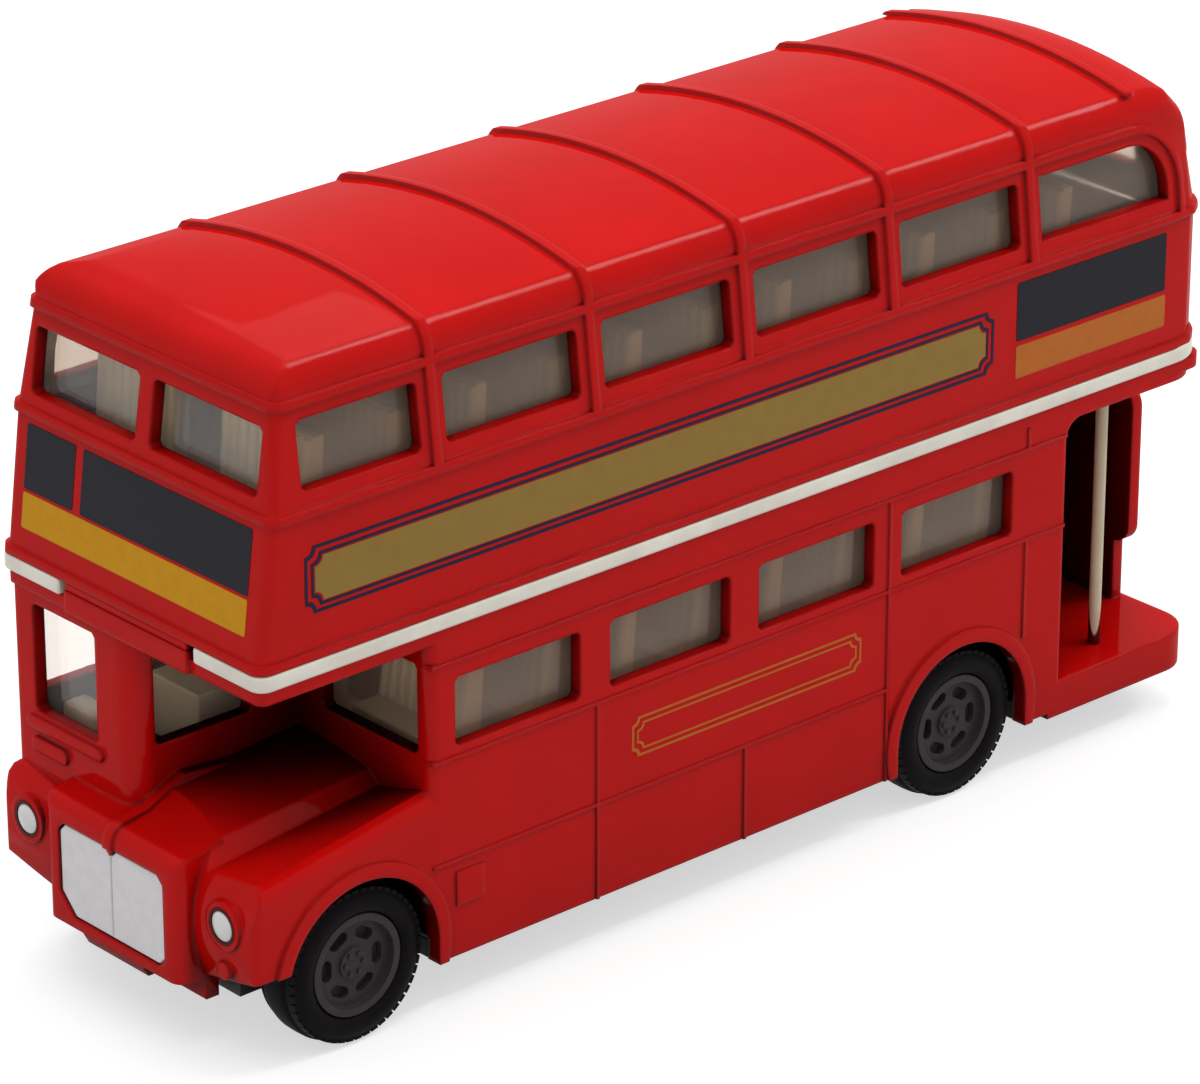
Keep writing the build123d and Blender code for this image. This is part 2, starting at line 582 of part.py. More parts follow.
with BuildPart() as lower_shell:
    with BuildSketch(Plane.XY.offset(SKIRT_Z)):
        plan_outline(BULKHEAD_X, BODY_REAR_X, HALF_WIDTH, FRONT_RADIUS, REAR_RADIUS)
    extrude(amount=LOWER_TOP_Z - SKIRT_Z)
    with BuildSketch(Plane.XY.offset(CAB_FLOOR_Z - WALL)):
        with Locations(((CAB_FRONT_X + NOSE_REAR_X) / 2, (CAB_INNER_Y - HALF_WIDTH) / 2)):
            Rectangle(CAB_FRONT_X - NOSE_REAR_X, CAB_INNER_Y + HALF_WIDTH)
        fillet(vertices().group_by(Axis.X)[-1].sort_by(Axis.Y)[-1], CAB_INNER_RADIUS)
        fillet(vertices().sort_by(Axis.Y)[0:2].sort_by(Axis.X)[-1], CAB_RADIUS)
    extrude(amount=LOWER_TOP_Z - CAB_FLOOR_Z + WALL)
    with BuildSketch(Plane.XY.offset(CANOPY_Z)):
        plan_outline(UPPER_FRONT_X, BODY_REAR_X, HALF_WIDTH, FRONT_RADIUS, CANOPY_RADIUS)
    extrude(amount=LOWER_TOP_Z - CANOPY_Z)
    add(nose.part)
    add(cowl.part)
    # Hollow the saloon, the cab and the space under the bonnet
    with BuildSketch(Plane.XY.offset(PLATFORM_BOTTOM_Z)):
        plan_outline(BULKHEAD_X - WALL, BODY_REAR_X + WALL, HALF_WIDTH - WALL, 0, REAR_RADIUS - WALL)
    extrude(amount=LOWER_TOP_Z, mode=Mode.SUBTRACT)
    with BuildSketch(Plane.XY.offset(CAB_FLOOR_Z)):
        with Locations(((CAB_FRONT_X - WALL + BULKHEAD_X) / 2, (CAB_INNER_Y - HALF_WIDTH) / 2)):
            Rectangle(CAB_FRONT_X - WALL - BULKHEAD_X, CAB_INNER_Y + HALF_WIDTH - 2 * WALL)
        chamfer(vertices().group_by(Axis.X)[-1], CAB_INNER_RADIUS - WALL)
    extrude(amount=CANOPY_Z - CAB_FLOOR_Z, mode=Mode.SUBTRACT)
    with BuildSketch(Plane.XY.offset(PLATFORM_BOTTOM_Z)):
        plan_outline(WING_FRONT_X - 2 * WALL, BULKHEAD_X, HALF_WIDTH - WALL, 0, 0)
    extrude(amount=NOSE_ROOF_Z - PLATFORM_BOTTOM_Z, mode=Mode.SUBTRACT)
    with BuildSketch(Plane.XY.offset(PLATFORM_BOTTOM_Z)):
        plan_outline(BULKHEAD_X + WALL, BULKHEAD_X - 2 * WALL, HALF_WIDTH - WALL, 0, 0)
    extrude(amount=BASE_TOP_Z + FIT - PLATFORM_BOTTOM_Z, mode=Mode.SUBTRACT)
    # Rear bulkhead and platform
    with BuildSketch(Plane.XY.offset(PLATFORM_BOTTOM_Z)):
        with Locations((PLATFORM_FRONT_X + WALL / 2, 0)):
            Rectangle(WALL, 2 * HALF_WIDTH - WALL)
    extrude(amount=LOWER_TOP_Z - PLATFORM_BOTTOM_Z)
    with BuildSketch(Plane.XY.offset(PLATFORM_BOTTOM_Z)):
        plan_outline(PLATFORM_FRONT_X + WALL, REAR_X, HALF_WIDTH, 0, REAR_RADIUS)
    extrude(amount=PLATFORM_Z - PLATFORM_BOTTOM_Z)
    # Screw bosses cast on the two bulkheads
    with BuildSketch(Plane.XY.offset(BASE_TOP_Z)):
        with Locations(*[(x, 0) for _, x in SCREWS]):
            RegularPolygon(BOSS_RADIUS, BOSS_SIDES)
            RegularPolygon(SCREW_RADIUS + 2 * FIT, BOSS_SIDES, mode=Mode.SUBTRACT)
    extrude(amount=LOWER_FLOOR_Z - FIT - BASE_TOP_Z)
    # Panel lines and lips round the wheel arches
    for _, side in SIDES:
        with BuildSketch(Plane.XZ.offset(-side * (HALF_WIDTH - WALL))):
            for rear, front, bottom, top in PANEL_LINES:
                with Locations(((rear + front) / 2, (bottom + top) / 2)):
                    Rectangle(front - rear, top - bottom)
        extrude(amount=-side * (WALL + LINE_PROUD))
        with BuildSketch(Plane.XZ.offset(-side * (HALF_WIDTH - WALL))):
            for _, axle_x in AXLES:
                with Locations((axle_x, WHEEL_RADIUS)):
                    Circle(ARCH_RADIUS + ARCH_LIP)
            with Locations((0, SKIRT_Z - LENGTH / 2)):
                Rectangle(2 * LENGTH, LENGTH, mode=Mode.SUBTRACT)
            with Locations((FRONT_AXLE_X + LENGTH / 2, WING_FOOT_Z - LENGTH / 2)):
                Rectangle(LENGTH, LENGTH, mode=Mode.SUBTRACT)
        extrude(amount=-side * (WALL + BEAD_PROUD))
    # Locating tab that shows between the ends of the cream band, and the pads on the cab front
    with BuildSketch(Plane.XY.offset(CANOPY_Z)):
        with Locations((UPPER_FRONT_X + BAND_PROUD - NOTCH_DEPTH / 2, (NOTCH[0] + NOTCH[1]) / 2)):
            Rectangle(NOTCH_DEPTH, NOTCH[1] - NOTCH[0] - BAND_HEIGHT)
    extrude(amount=LOWER_TOP_Z + BAND_HEIGHT / 2 - CANOPY_Z)
    with BuildSketch(Plane.YZ.offset(CAB_FRONT_X - WALL / 2)):
        for far, near, bottom, top in CAB_PADS:
            panel((far, bottom), (near, top))
    extrude(amount=WALL / 2 + LINE_PROUD + LINE_WIDTH / 2)
    # Openings: wheel arches, windows, doorway, entrance
    with BuildSketch(Plane.XZ):
        for _, axle_x in AXLES:
            with Locations((axle_x, WHEEL_RADIUS)):
                Circle(ARCH_RADIUS)
            with Locations((axle_x, WHEEL_RADIUS - ARCH_RADIUS)):
                Rectangle(2 * ARCH_RADIUS, 2 * ARCH_RADIUS)
        for x in PILLARS_X[:4]:
            edge = PILLAR_WIDTH / 2 + LINE_WIDTH
            panel((x - BAY + edge, LOWER_SILL_Z), (x - edge, LOWER_HEAD_Z))
    extrude(amount=2 * HALF_WIDTH, both=True, mode=Mode.SUBTRACT)
    with BuildSketch(Plane.XZ.offset(-REAR_WALL_EDGE_Y)):
        with BuildLine():
            Polyline(
                (PLATFORM_FRONT_X, ENTRANCE_TOP_Z - ENTRANCE_RADIUS),
                (PLATFORM_FRONT_X, PLATFORM_Z),
                (REAR_X - 1, PLATFORM_Z),
                (REAR_X - 1, ENTRANCE_TOP_Z),
                (PLATFORM_FRONT_X - ENTRANCE_RADIUS, ENTRANCE_TOP_Z),
            )
            RadiusArc(
                (PLATFORM_FRONT_X - ENTRANCE_RADIUS, ENTRANCE_TOP_Z),
                (PLATFORM_FRONT_X, ENTRANCE_TOP_Z - ENTRANCE_RADIUS),
                ENTRANCE_RADIUS,
            )
        make_face()
    extrude(amount=-HALF_WIDTH, mode=Mode.SUBTRACT)
    # The rear wall's free edge: a narrower foot and a corner rounded off at the top
    STEP_Y = REAR_WALL_EDGE_Y - REAR_WALL_STEP
    with BuildSketch(Plane.YZ.offset(REAR_X - 1)):
        with BuildLine():
            Polyline(
                (REAR_WALL_EDGE_Y, REAR_WALL_STEP_Z + ENTRANCE_RADIUS),
                (REAR_WALL_EDGE_Y, REAR_WALL_TOP_Z - ENTRANCE_RADIUS),
            )
            RadiusArc(
                (REAR_WALL_EDGE_Y, REAR_WALL_TOP_Z - ENTRANCE_RADIUS),
                (REAR_WALL_EDGE_Y - ENTRANCE_RADIUS, REAR_WALL_TOP_Z),
                -ENTRANCE_RADIUS,
            )
            Polyline(
                (REAR_WALL_EDGE_Y - ENTRANCE_RADIUS, REAR_WALL_TOP_Z),
                (STEP_Y, REAR_WALL_TOP_Z),
                (STEP_Y, ENTRANCE_TOP_Z),
                (HALF_WIDTH, ENTRANCE_TOP_Z),
                (HALF_WIDTH, PLATFORM_Z),
                (STEP_Y, PLATFORM_Z),
                (STEP_Y, REAR_WALL_STEP_Z),
                (REAR_WALL_EDGE_Y - ENTRANCE_RADIUS, REAR_WALL_STEP_Z),
            )
            RadiusArc(
                (REAR_WALL_EDGE_Y - ENTRANCE_RADIUS, REAR_WALL_STEP_Z),
                (REAR_WALL_EDGE_Y, REAR_WALL_STEP_Z + ENTRANCE_RADIUS),
                -ENTRANCE_RADIUS,
            )
        make_face()
    extrude(amount=REAR_RADIUS, mode=Mode.SUBTRACT)
    for place, depth, far, near, bottom, top in END_OPENINGS:
        with BuildSketch(Plane.YZ.offset(place)):
            panel((far, bottom), (near, top))
        extrude(amount=depth, mode=Mode.SUBTRACT)
    with BuildSketch(Plane.XZ):
        panel((CAB_SIDE_REAR_X, CAB_SIDE_Z[0]), (CAB_SIDE_FRONT_X, CAB_SIDE_Z[1]))
    extrude(amount=2 * HALF_WIDTH, mode=Mode.SUBTRACT)
lower_shell.part.label = "lower_shell"
export_step(lower_shell.part, "parts/lower_shell.step")

# Lower glazing: a liner round the saloon, open to the platform, and a smaller one in the cab
GLASS_LAP = 1.2
LOWER_GLASS_Z = (LOWER_SILL_Z - GLASS_LAP, LOWER_HEAD_Z + GLASS_LAP)
CAB_GLASS_Z = (CAB_FLOOR_Z + FIT, CANOPY_Z - 3 * FIT)
LINERS = (
    # node, rear, front, right edge, left edge, cut at the front corners, bottom and top
    (
        "lower_glazing",
        SALOON_ENDS[0],
        SALOON_ENDS[1],
        -HALF_WIDTH + WALL + FIT,
        HALF_WIDTH - WALL - FIT,
        FIT,
        LOWER_GLASS_Z,
    ),
    (
        "cab_glazing",
        BULKHEAD_X + FIT,
        CAB_FRONT_X - WALL - FIT,
        -HALF_WIDTH + WALL + FIT,
        CAB_INNER_Y - WALL - FIT,
        CAB_INNER_RADIUS - WALL,
        CAB_GLASS_Z,
    ),
)
for node, rear, front, right, left, cut, heights in LINERS:
    with BuildPart() as liner:
        with BuildSketch(Plane.XY.offset(heights[0])):
            with Locations(((front + rear) / 2, (left + right) / 2)):
                Rectangle(front - rear, left - right)
            chamfer(vertices().group_by(Axis.X)[-1], cut)
            with Locations(((front + rear) / 2 - GLASS, (left + right) / 2)):
                Rectangle(front - rear, left - right - 2 * GLASS, mode=Mode.SUBTRACT)
        extrude(amount=heights[1] - heights[0])
    liner.part.label = node
    export_step(liner.part, f"parts/{node}.step")

CAB_SEAT_HEIGHT = 8.0
CAB_SEAT_GAP = 3.0
with BuildPart() as cab_seat:
    with BuildSketch(Plane.XZ.offset(-CAB_INNER_Y + WALL + GLASS + CAB_SEAT_GAP)):
        with BuildLine():
            seat_profile(BULKHEAD_X + CAB_SEAT_GAP, CAB_FLOOR_Z, CAB_SEAT_HEIGHT)
        make_face()
    extrude(amount=HALF_WIDTH + CAB_INNER_Y - 2 * (WALL + GLASS + CAB_SEAT_GAP))
cab_seat.part.label = "cab_seat"
export_step(cab_seat.part, "parts/cab_seat.step")

# Radiator grille: a plate set in the cowl's recess
with BuildPart() as radiator_grille:
    with BuildSketch(Plane.YZ.offset(COWL_FRONT_X - GRILLE_DEPTH)):
        grille_outline(0)
    extrude(amount=GRILLE_DEPTH - GRILLE_RECESS)
radiator_grille.part.label = "radiator_grille"
export_step(radiator_grille.part, "parts/radiator_grille.step")

# Headlamps: lenses set in the bezels' pockets
LENS_DEPTH = 0.6
LENS_EDGE = 0.15
for name, side in SIDES:
    with BuildPart() as headlamp:
        with BuildSketch(Plane.YZ.offset(WING_FRONT_X + BEZEL_PROUD - LAMP_POCKET)):
            with Locations((side * LAMP_Y, LAMP_Z)):
                RegularPolygon(LAMP_RADIUS, LAMP_SIDES)
        extrude(amount=LENS_DEPTH)
        chamfer(edges().group_by(Axis.X)[-1], LENS_EDGE, 3 * LENS_EDGE)
    headlamp.part.label = f"headlamp_{name}"
    export_step(headlamp.part, f"parts/headlamp_{name}.step")

# Grab pole from the platform to the upper floor
POLE_RADIUS = 0.6
POLE_X = PLATFORM_FRONT_X - 9.0
POLE_Y = HALF_WIDTH - 3.9
with BuildPart() as platform_pole:
    with BuildSketch(Plane.XY.offset(PLATFORM_Z)):
        with Locations((POLE_X, POLE_Y)):
            Circle(POLE_RADIUS)
    extrude(amount=LOWER_TOP_Z - PLATFORM_Z)
platform_pole.part.label = "platform_pole"
export_step(platform_pole.part, "parts/platform_pole.step")

# Base plate: closes the underside, carries the axles in bored blocks
BASE_HALF = HALF_WIDTH - WALL - FIT
BASE_FRONT_X = COWL_REAR_X - FIT
BASE_REAR_X = PLATFORM_FRONT_X + WALL + FIT
BEARING_HALF = 2.4
BEARING_INNER_Y = 6.0
BEARING_OUTER_Y = WHEEL_INNER_Y - 0.3
BORE_RADIUS = AXLE_RADIUS + RUNNING_CLEARANCE
TYRE_GAP = 0.5
HEAD_DEPTH = 0.9
SCREW_LENGTH = 8.0
SCREW_SIDES = 12
with BuildPart() as base_plate:
    with BuildSketch(Plane.XY.offset(BASE_BOTTOM_Z)):
        plan_outline(BASE_FRONT_X, BASE_REAR_X, BASE_HALF, 0, 0)
        for _, axle_x in AXLES:
            for _, side in SIDES:
                with Locations((axle_x, side * (WHEEL_INNER_Y - TYRE_GAP + HALF_WIDTH) / 2)):
                    Rectangle(2 * ARCH_RADIUS, HALF_WIDTH - WHEEL_INNER_Y + TYRE_GAP, mode=Mode.SUBTRACT)
    extrude(amount=BASE_TOP_Z - BASE_BOTTOM_Z)
    for _, axle_x in AXLES:
        for _, side in SIDES:
            with BuildSketch(Plane.XZ.offset(-side * BEARING_INNER_Y)):
                with Locations((axle_x, (BASE_BOTTOM_Z + WHEEL_RADIUS + BEARING_HALF) / 2)):
                    Rectangle(2 * BEARING_HALF, WHEEL_RADIUS + BEARING_HALF - BASE_BOTTOM_Z)
            extrude(amount=-side * (BEARING_OUTER_Y - BEARING_INNER_Y))
    with BuildSketch(Plane.XZ):
        for _, axle_x in AXLES:
            with Locations((axle_x, WHEEL_RADIUS)):
                Circle(BORE_RADIUS)
    extrude(amount=HALF_WIDTH, both=True, mode=Mode.SUBTRACT)
    for radius, depth in ((SCREW_HEAD_RADIUS, HEAD_DEPTH), (SCREW_RADIUS, SCREW_LENGTH)):
        with BuildSketch(Plane.XY.offset(BASE_BOTTOM_Z)):
            with Locations(*[(x, 0) for _, x in SCREWS]):
                RegularPolygon(radius + 2 * FIT, SCREW_SIDES)
        extrude(amount=depth, mode=Mode.SUBTRACT)
base_plate.part.label = "base_plate"
export_step(base_plate.part, "parts/base_plate.step")

for name, x in SCREWS:
    with BuildPart() as screw:
        for radius, length in ((SCREW_HEAD_RADIUS, HEAD_DEPTH - FIT), (SCREW_RADIUS, SCREW_LENGTH)):
            with BuildSketch(Plane.XY.offset(BASE_BOTTOM_Z + FIT)):
                with Locations((x, 0)):
                    RegularPolygon(radius, SCREW_SIDES)
            extrude(amount=length)
    screw.part.label = f"base_screw_{name}"
    export_step(screw.part, f"parts/base_screw_{name}.step")

# Axles, hubs and tyres
AXLE_DEPTH = 1.8
RIM_DEPTH = 0.3
DISH_DEPTH = 1.1
KEY_SIDES = 32
DISH_SIDES = 24
HUB_BOSS_RISE = 0.3
HUB_BOSS_RADIUS = 1.5
DISH_RADIUS = HUB_RADIUS - 0.7
HUB_SETBACK = 0.4
TYRE_SHOULDER = 0.8
SLOT_COUNT = 6
SLOT_LENGTH = 2.1
SLOT_WIDTH = 1.1
SLOT_DEPTH = 0.8
for axle, axle_x in AXLES:
    with BuildPart() as axle_rod:
        with BuildSketch(Plane.XZ):
            with Locations((axle_x, WHEEL_RADIUS)):
                Circle(AXLE_RADIUS)
        extrude(amount=WHEEL_OUTER_Y - AXLE_DEPTH, both=True)
    axle_rod.part.label = f"{axle}_axle"
    export_step(axle_rod.part, f"parts/{axle}_axle.step")
    for name, side in SIDES:
        outer = side * WHEEL_OUTER_Y
        spin_axis = Axis((axle_x, 0, WHEEL_RADIUS), (0, 1, 0))
        wheel_plane = Plane(origin=(axle_x, outer, WHEEL_RADIUS), x_dir=(0, -side, 0), z_dir=(side, 0, 0))
        # The hub's flats key it into the tyre
        with BuildPart() as hub:
            with BuildSketch(Plane.XZ.offset(-side * (WHEEL_OUTER_Y - RIM_DEPTH))):
                with Locations((axle_x, WHEEL_RADIUS)):
                    RegularPolygon(HUB_RADIUS, KEY_SIDES)
            extrude(amount=side * (TYRE_WIDTH - HUB_SETBACK - RIM_DEPTH))
            with BuildSketch(Plane.XZ.offset(-side * (WHEEL_OUTER_Y - AXLE_DEPTH))):
                with Locations((axle_x, WHEEL_RADIUS)):
                    Circle(AXLE_RADIUS + PRESS_CLEARANCE)
            extrude(amount=side * TYRE_WIDTH, mode=Mode.SUBTRACT)
            with BuildSketch(Plane.XZ.offset(-side * (WHEEL_OUTER_Y - RIM_DEPTH))):
                with Locations((axle_x, WHEEL_RADIUS)):
                    RegularPolygon(DISH_RADIUS, DISH_SIDES)
            extrude(amount=side * (DISH_DEPTH - RIM_DEPTH), mode=Mode.SUBTRACT)
            with BuildSketch(Plane.XZ.offset(-side * (WHEEL_OUTER_Y - DISH_DEPTH))):
                with Locations((axle_x, WHEEL_RADIUS)):
                    RegularPolygon(HUB_BOSS_RADIUS, DISH_SIDES // 2)
            extrude(amount=-side * HUB_BOSS_RISE)
            with BuildSketch(Plane.XZ.offset(-side * (WHEEL_OUTER_Y - DISH_DEPTH))):
                with Locations((axle_x, WHEEL_RADIUS)):
                    with PolarLocations((HUB_BOSS_RADIUS + DISH_RADIUS) / 2, SLOT_COUNT):
                        Rectangle(SLOT_WIDTH, SLOT_LENGTH)
                chamfer(vertices(), SLOT_WIDTH / 3)
            extrude(amount=side * SLOT_DEPTH, mode=Mode.SUBTRACT)
        hub.part.label = f"{axle}_{name}_hub"
        export_step(hub.part, f"parts/{axle}_{name}_hub.step")
        # On the wheel plane the first coordinate runs inwards along the axle and the second up the radius
        with BuildPart() as tyre:
            with BuildSketch(wheel_plane):
                with BuildLine():
                    Polyline(
                        (0, 0),
                        (0, WHEEL_RADIUS - TYRE_SHOULDER),
                        (TYRE_SHOULDER, WHEEL_RADIUS),
                        (TYRE_WIDTH, WHEEL_RADIUS),
                        (TYRE_WIDTH, 0),
                        close=True,
                    )
                make_face()
            revolve(axis=spin_axis)
            with BuildSketch(Plane.XZ.offset(-side * WHEEL_OUTER_Y)):
                with Locations((axle_x, WHEEL_RADIUS)):
                    RegularPolygon(HUB_RADIUS + PRESS_CLEARANCE, KEY_SIDES)
            extrude(amount=side * TYRE_WIDTH, mode=Mode.SUBTRACT)
        tyre.part.label = f"{axle}_{name}_tyre"
        export_step(tyre.part, f"parts/{axle}_{name}_tyre.step")
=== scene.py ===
"""Looks of a toy half-cab double-decker bus.

Enamelled castings, clear windows, moulded seats, blank printed signs and rolling wheels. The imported
model is the fixed frame. Every piece made here sits in that frame, in metres, and rides on one of
its bodies.
"""

import json
import math

import bmesh
import bpy
from bpy.props import FloatProperty, FloatVectorProperty, IntProperty, PointerProperty
from mathutils import Matrix, Vector

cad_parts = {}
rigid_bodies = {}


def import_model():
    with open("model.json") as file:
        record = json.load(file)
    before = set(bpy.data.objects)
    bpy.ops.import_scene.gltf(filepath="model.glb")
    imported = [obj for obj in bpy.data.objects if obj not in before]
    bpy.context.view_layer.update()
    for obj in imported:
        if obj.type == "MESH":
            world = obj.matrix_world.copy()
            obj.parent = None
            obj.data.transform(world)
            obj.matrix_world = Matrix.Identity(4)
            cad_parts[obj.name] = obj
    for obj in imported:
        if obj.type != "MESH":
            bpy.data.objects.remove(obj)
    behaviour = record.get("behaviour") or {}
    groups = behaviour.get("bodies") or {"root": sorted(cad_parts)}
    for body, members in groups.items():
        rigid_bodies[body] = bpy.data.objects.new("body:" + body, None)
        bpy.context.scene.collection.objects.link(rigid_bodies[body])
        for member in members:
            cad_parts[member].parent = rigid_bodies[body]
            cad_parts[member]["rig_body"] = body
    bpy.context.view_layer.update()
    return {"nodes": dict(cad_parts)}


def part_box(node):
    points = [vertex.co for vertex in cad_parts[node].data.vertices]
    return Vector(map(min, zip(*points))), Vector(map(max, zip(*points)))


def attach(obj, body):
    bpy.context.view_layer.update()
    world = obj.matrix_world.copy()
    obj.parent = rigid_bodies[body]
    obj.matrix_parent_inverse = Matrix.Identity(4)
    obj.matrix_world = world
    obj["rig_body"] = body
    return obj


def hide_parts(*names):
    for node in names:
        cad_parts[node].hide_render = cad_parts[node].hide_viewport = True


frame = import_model()
MM = 0.001
BODY = "bus_body"
SIDES = (("left", 1), ("right", -1))

bl_info = {
    "name": "Toy Double-Decker Bus",
    "version": (1, 0, 0),
    "blender": (4, 5, 0),
    "location": "View3D > Sidebar > Toy Bus",
    "description": "Dresses a toy double-decker bus with enamel, glazing, seats, signs and tyres",
    "category": "Object",
}

# Down to the stage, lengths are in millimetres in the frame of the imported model.

# Finishes
PATCH_STOPS = (0.3, 0.7)  # noise at which the darker tone ends and the lighter begins
PAINTED_SHADE_STOPS = (0.22, 0.62)  # share of open air at which the painted shade on enamel is darkest and at which the enamel shows its own colour
PAINTED_SHADE_TONE = 0.02  # darkest tone of that painted shade

# Copies of nodes
WELD_GAP = 0.002  # corners closer than this become one
FLAT_DEGREES = 0.6  # faces that meet at less become one flat face
ROUNDED_SHARE = 0.42  # the most of a face's width that the rounding of one edge may take
CASTING_CREASE = 21  # degrees past which an edge of a casting stays sharp
BAND_ROUNDING = 1.4  # edges of the cream band against those of the other mouldings
SIDE_PANE = 0.7  # a pane faces sideways where its normal has less than this share along the toy

# Blocks that fill in: low corner, high corner, rounding of the edges
FRONT_SILL = ((54.7, -8.7, 38.02), (56.98, 8.3, 38.79), 0.12)
CAB_LEDGE = ((49.4, -16.0, 19.5), (52.4, -11.4, 23.7), 0.9)

# Seats
SEAT_DECKS = (
    # deck, front row, rows, foot of the pleats, their rise
    ("upper", 47.5, 11, 45.7, 11.0),
    ("lower", 30.0, 8, 24.3, 6.4),
)
SEAT_PITCH = 9.025  # from row to row
PLEAT_FOOT = 1.0  # from a row's place to the feet of its pleats
PLEAT_LEAN = 0.9  # how far the tops lean back
PLEAT_RADIUS = 0.58
PLEAT_START = 3.6  # from the middle of the deck to a seat's first pleat
PLEAT_SPAN = 10.2  # from a seat's first pleat to its last

# Grille and headlamps
GRILLE_FACE = 59.55
GRILLE_FOLD = (-0.09, 8.6, 0.09, 16.2)
LAMP_FACE = 58.35
LAMP_RINGS = (1.74, 1.42)  # outer and inner radius of the painted shadow line round each lamp
LENS_SHARE = 0.9  # width of a lens against its lamp's disc
LENS_DOME = 0.35
LENS_SIDES = 48
LENS_STEPS = 10
LENS_CREASE = 60  # degrees past which an edge of a lens stays sharp
SHADE_LINE_THICKNESS = 0.03  # thickness of the painted shade lines on the grille and round the lamps
FOLD_SHADE_TONE = 0.7  # tone of the painted shade along the grille's fold against its silver
RING_SHADOW_TONE = 0.1  # tone of the painted shadow line round a lamp against the enamel

# Grab pole
DIP_EDGE = Vector((-49.5, 14.0, 13.4))  # a point on the line where the cream stops
DIP_SLANT = Vector((0.67, 0.74, 0.15))  # direction in which the cream begins
DIP_BLUR = 0.05
DIP_FOOT_SHADE_TONE = 0.12  # tone of the foot below that line against the enamel: painted shade, as the foot stands in the platform's shade

# Signs: each outline is left, bottom, right and top on its wall
KERB_WALL = (0, 17.9, 0)
FRONT_WALL = (56.6, 0, 38.8)
FRONT_RISE = (-1.7, 0, 13.5)  # the front leans back as it rises
SIGN_CORNER = 0.2
SIGNS = (
    # name, ink, wall, outlines
    ("front_blinds", "black", "front", ((-15.7, 6.4, -8.8, 12.4), (-7.7, 6.4, 15.5, 12.4))),
    ("front_strip", "yellow", "front", ((-15.7, 2.8, 15.5, 6.1),)),
    ("side_blind", "black", "kerb", ((33.3, 45.1, 53.3, 50.9),)),
    ("side_strip", "orange", "kerb", ((33.3, 41.4, 53.4, 44.6),)),
)
GOLD_PANEL = (-50.5, 43.9, 29.2, 48.0)
GOLD_SCOOP = 0.9
PANEL_LINES = (
    # name, ink, scoop of the corners, then each line's outline and width
    (
        "gold_panel_lines",
        "navy",
        GOLD_SCOOP,
        (((-51.6, 42.9, 30.3, 49.1), 0.3), ((-50.9, 43.5, 29.6, 48.4), 0.25)),
    ),
    (
        "low_panel_lines",
        "orange",
        0.7,
        (((-14.6, 17.7, 13.9, 21.6), 0.22), ((-14.0, 18.3, 13.3, 21.0), 0.18)),
    ),
)

# Wheels
TYRE_HALF = (
    # depth from the outer face, radius: from the hub over the wall and shoulder to the crown
    (0.9, 4.9), (0.5, 4.95), (0.2, 5.1), (0.05, 5.45), (0.0, 5.9), (0.08, 6.4), (0.22, 6.75),
    (0.45, 7.05), (0.8, 7.25), (1.2, 7.36), (1.28, 7.2), (1.42, 7.2), (1.5, 7.46), (2.0, 7.6),
    (2.85, 7.63),
)
TREAD_CIRCLE = 7.4  # radius at which the pitch of the blocks is taken
TREAD_RADIUS = 7.0
TREAD_HEIGHT = 0.55
TREAD_WIDTH = 0.9
TREAD_DEPTH = 0.8  # from the tyre's outer face to the middle of the blocks
NUT_CIRCLE = 1.0
NUT_BLOCK = (0.5, 0.5, 0.4)
NUT_DEPTH = 0.75

# Stage, with places in metres
CAMERA_AIM = Vector((9.3, 7.7, 34.0)) * MM
CAMERA_SENSOR = 36.0
LAMP_AIM = Vector((0, 0, 0.03))
LAMPS = (
    # name, place, length along the toy, width, watts
    ("overhead", (-0.12, -0.22, 0.60), 0.50, 0.50, 1.0),
    ("strip", (-0.40, 0.22, 0.48), 0.26, 0.05, 0.8),
    ("bonnet", (0.26, 0.16, 0.55), 0.20, 0.06, 0.25),
)
CEILING = {"To_Min": 0.1, "To_Max": 1.05}  # light from the horizon and from straight above
PAPER_TONE = 0.6
PAPER_GLOW = 0.6
FLOOR_REACH = 3


def linear(hex_colour):
    """Turn an sRGB hex value into the linear red, green and blue that the shaders use."""
    channels = [int(hex_colour[i : i + 2], 16) / 255 for i in (1, 3, 5)]
    return [c / 12.92 if c <= 0.04045 else ((c + 0.055) / 1.055) ** 2.4 for c in channels]


def colour(name, hex_colour, description):
    """Declare one paint, ink or plastic colour that a user may change."""
    return FloatVectorProperty(
        name=name,
        description=description,
        subtype="COLOR",
        size=3,
        min=0,
        max=1,
        default=linear(hex_colour),
    )


def size(name, millimetres, description):
    """Declare one length that a user may change, given in millimetres and held in metres."""
    return FloatProperty(
        name=name,
        description=description,
        subtype="DISTANCE",
        unit="LENGTH",
        default=millimetres * MM,
        precision=5,
    )


def number(kind, name, default, description, **limits):
    """Declare one count, share, angle or focal length that a user may change."""
    return kind(name=name, description=description, default=default, **limits)


class BusColours(bpy.types.PropertyGroup):
    """Colours of the paint, inks, plastics and metal."""

    enamel: colour("Enamel", "#CE0D0A", "Gloss red stoving enamel on both castings")
    cream: colour("Cream", "#FBF4E6", "Band between the decks")
    pole: colour("Pole", "#DCCFB0", "Grab pole on the platform")
    seat: colour("Seats", "#D2BE9A", "Seat mouldings seen through the windows")
    hub: colour("Hubs", "#403B3D", "Wheel hubs")
    tyre: colour("Tyres", "#0E0B0E", "Tyres")
    base: colour("Base", "#151416", "Base plate under the toy")
    silver: colour("Silver", "#F0EEF0", "Radiator grille and headlamps")
    blind: colour("Blinds", "#1C1A22", "Blank route blinds, front and side")
    yellow: colour("Yellow", "#D99A12", "Blank strip under the front blinds")
    orange: colour("Orange", "#C8702C", "Blank strip under the side blind")
    gold: colour("Gold", "#9C7C3C", "Blank gold panel along the upper deck")
    navy: colour("Navy", "#1B1C38", "Outlines round the gold panel")


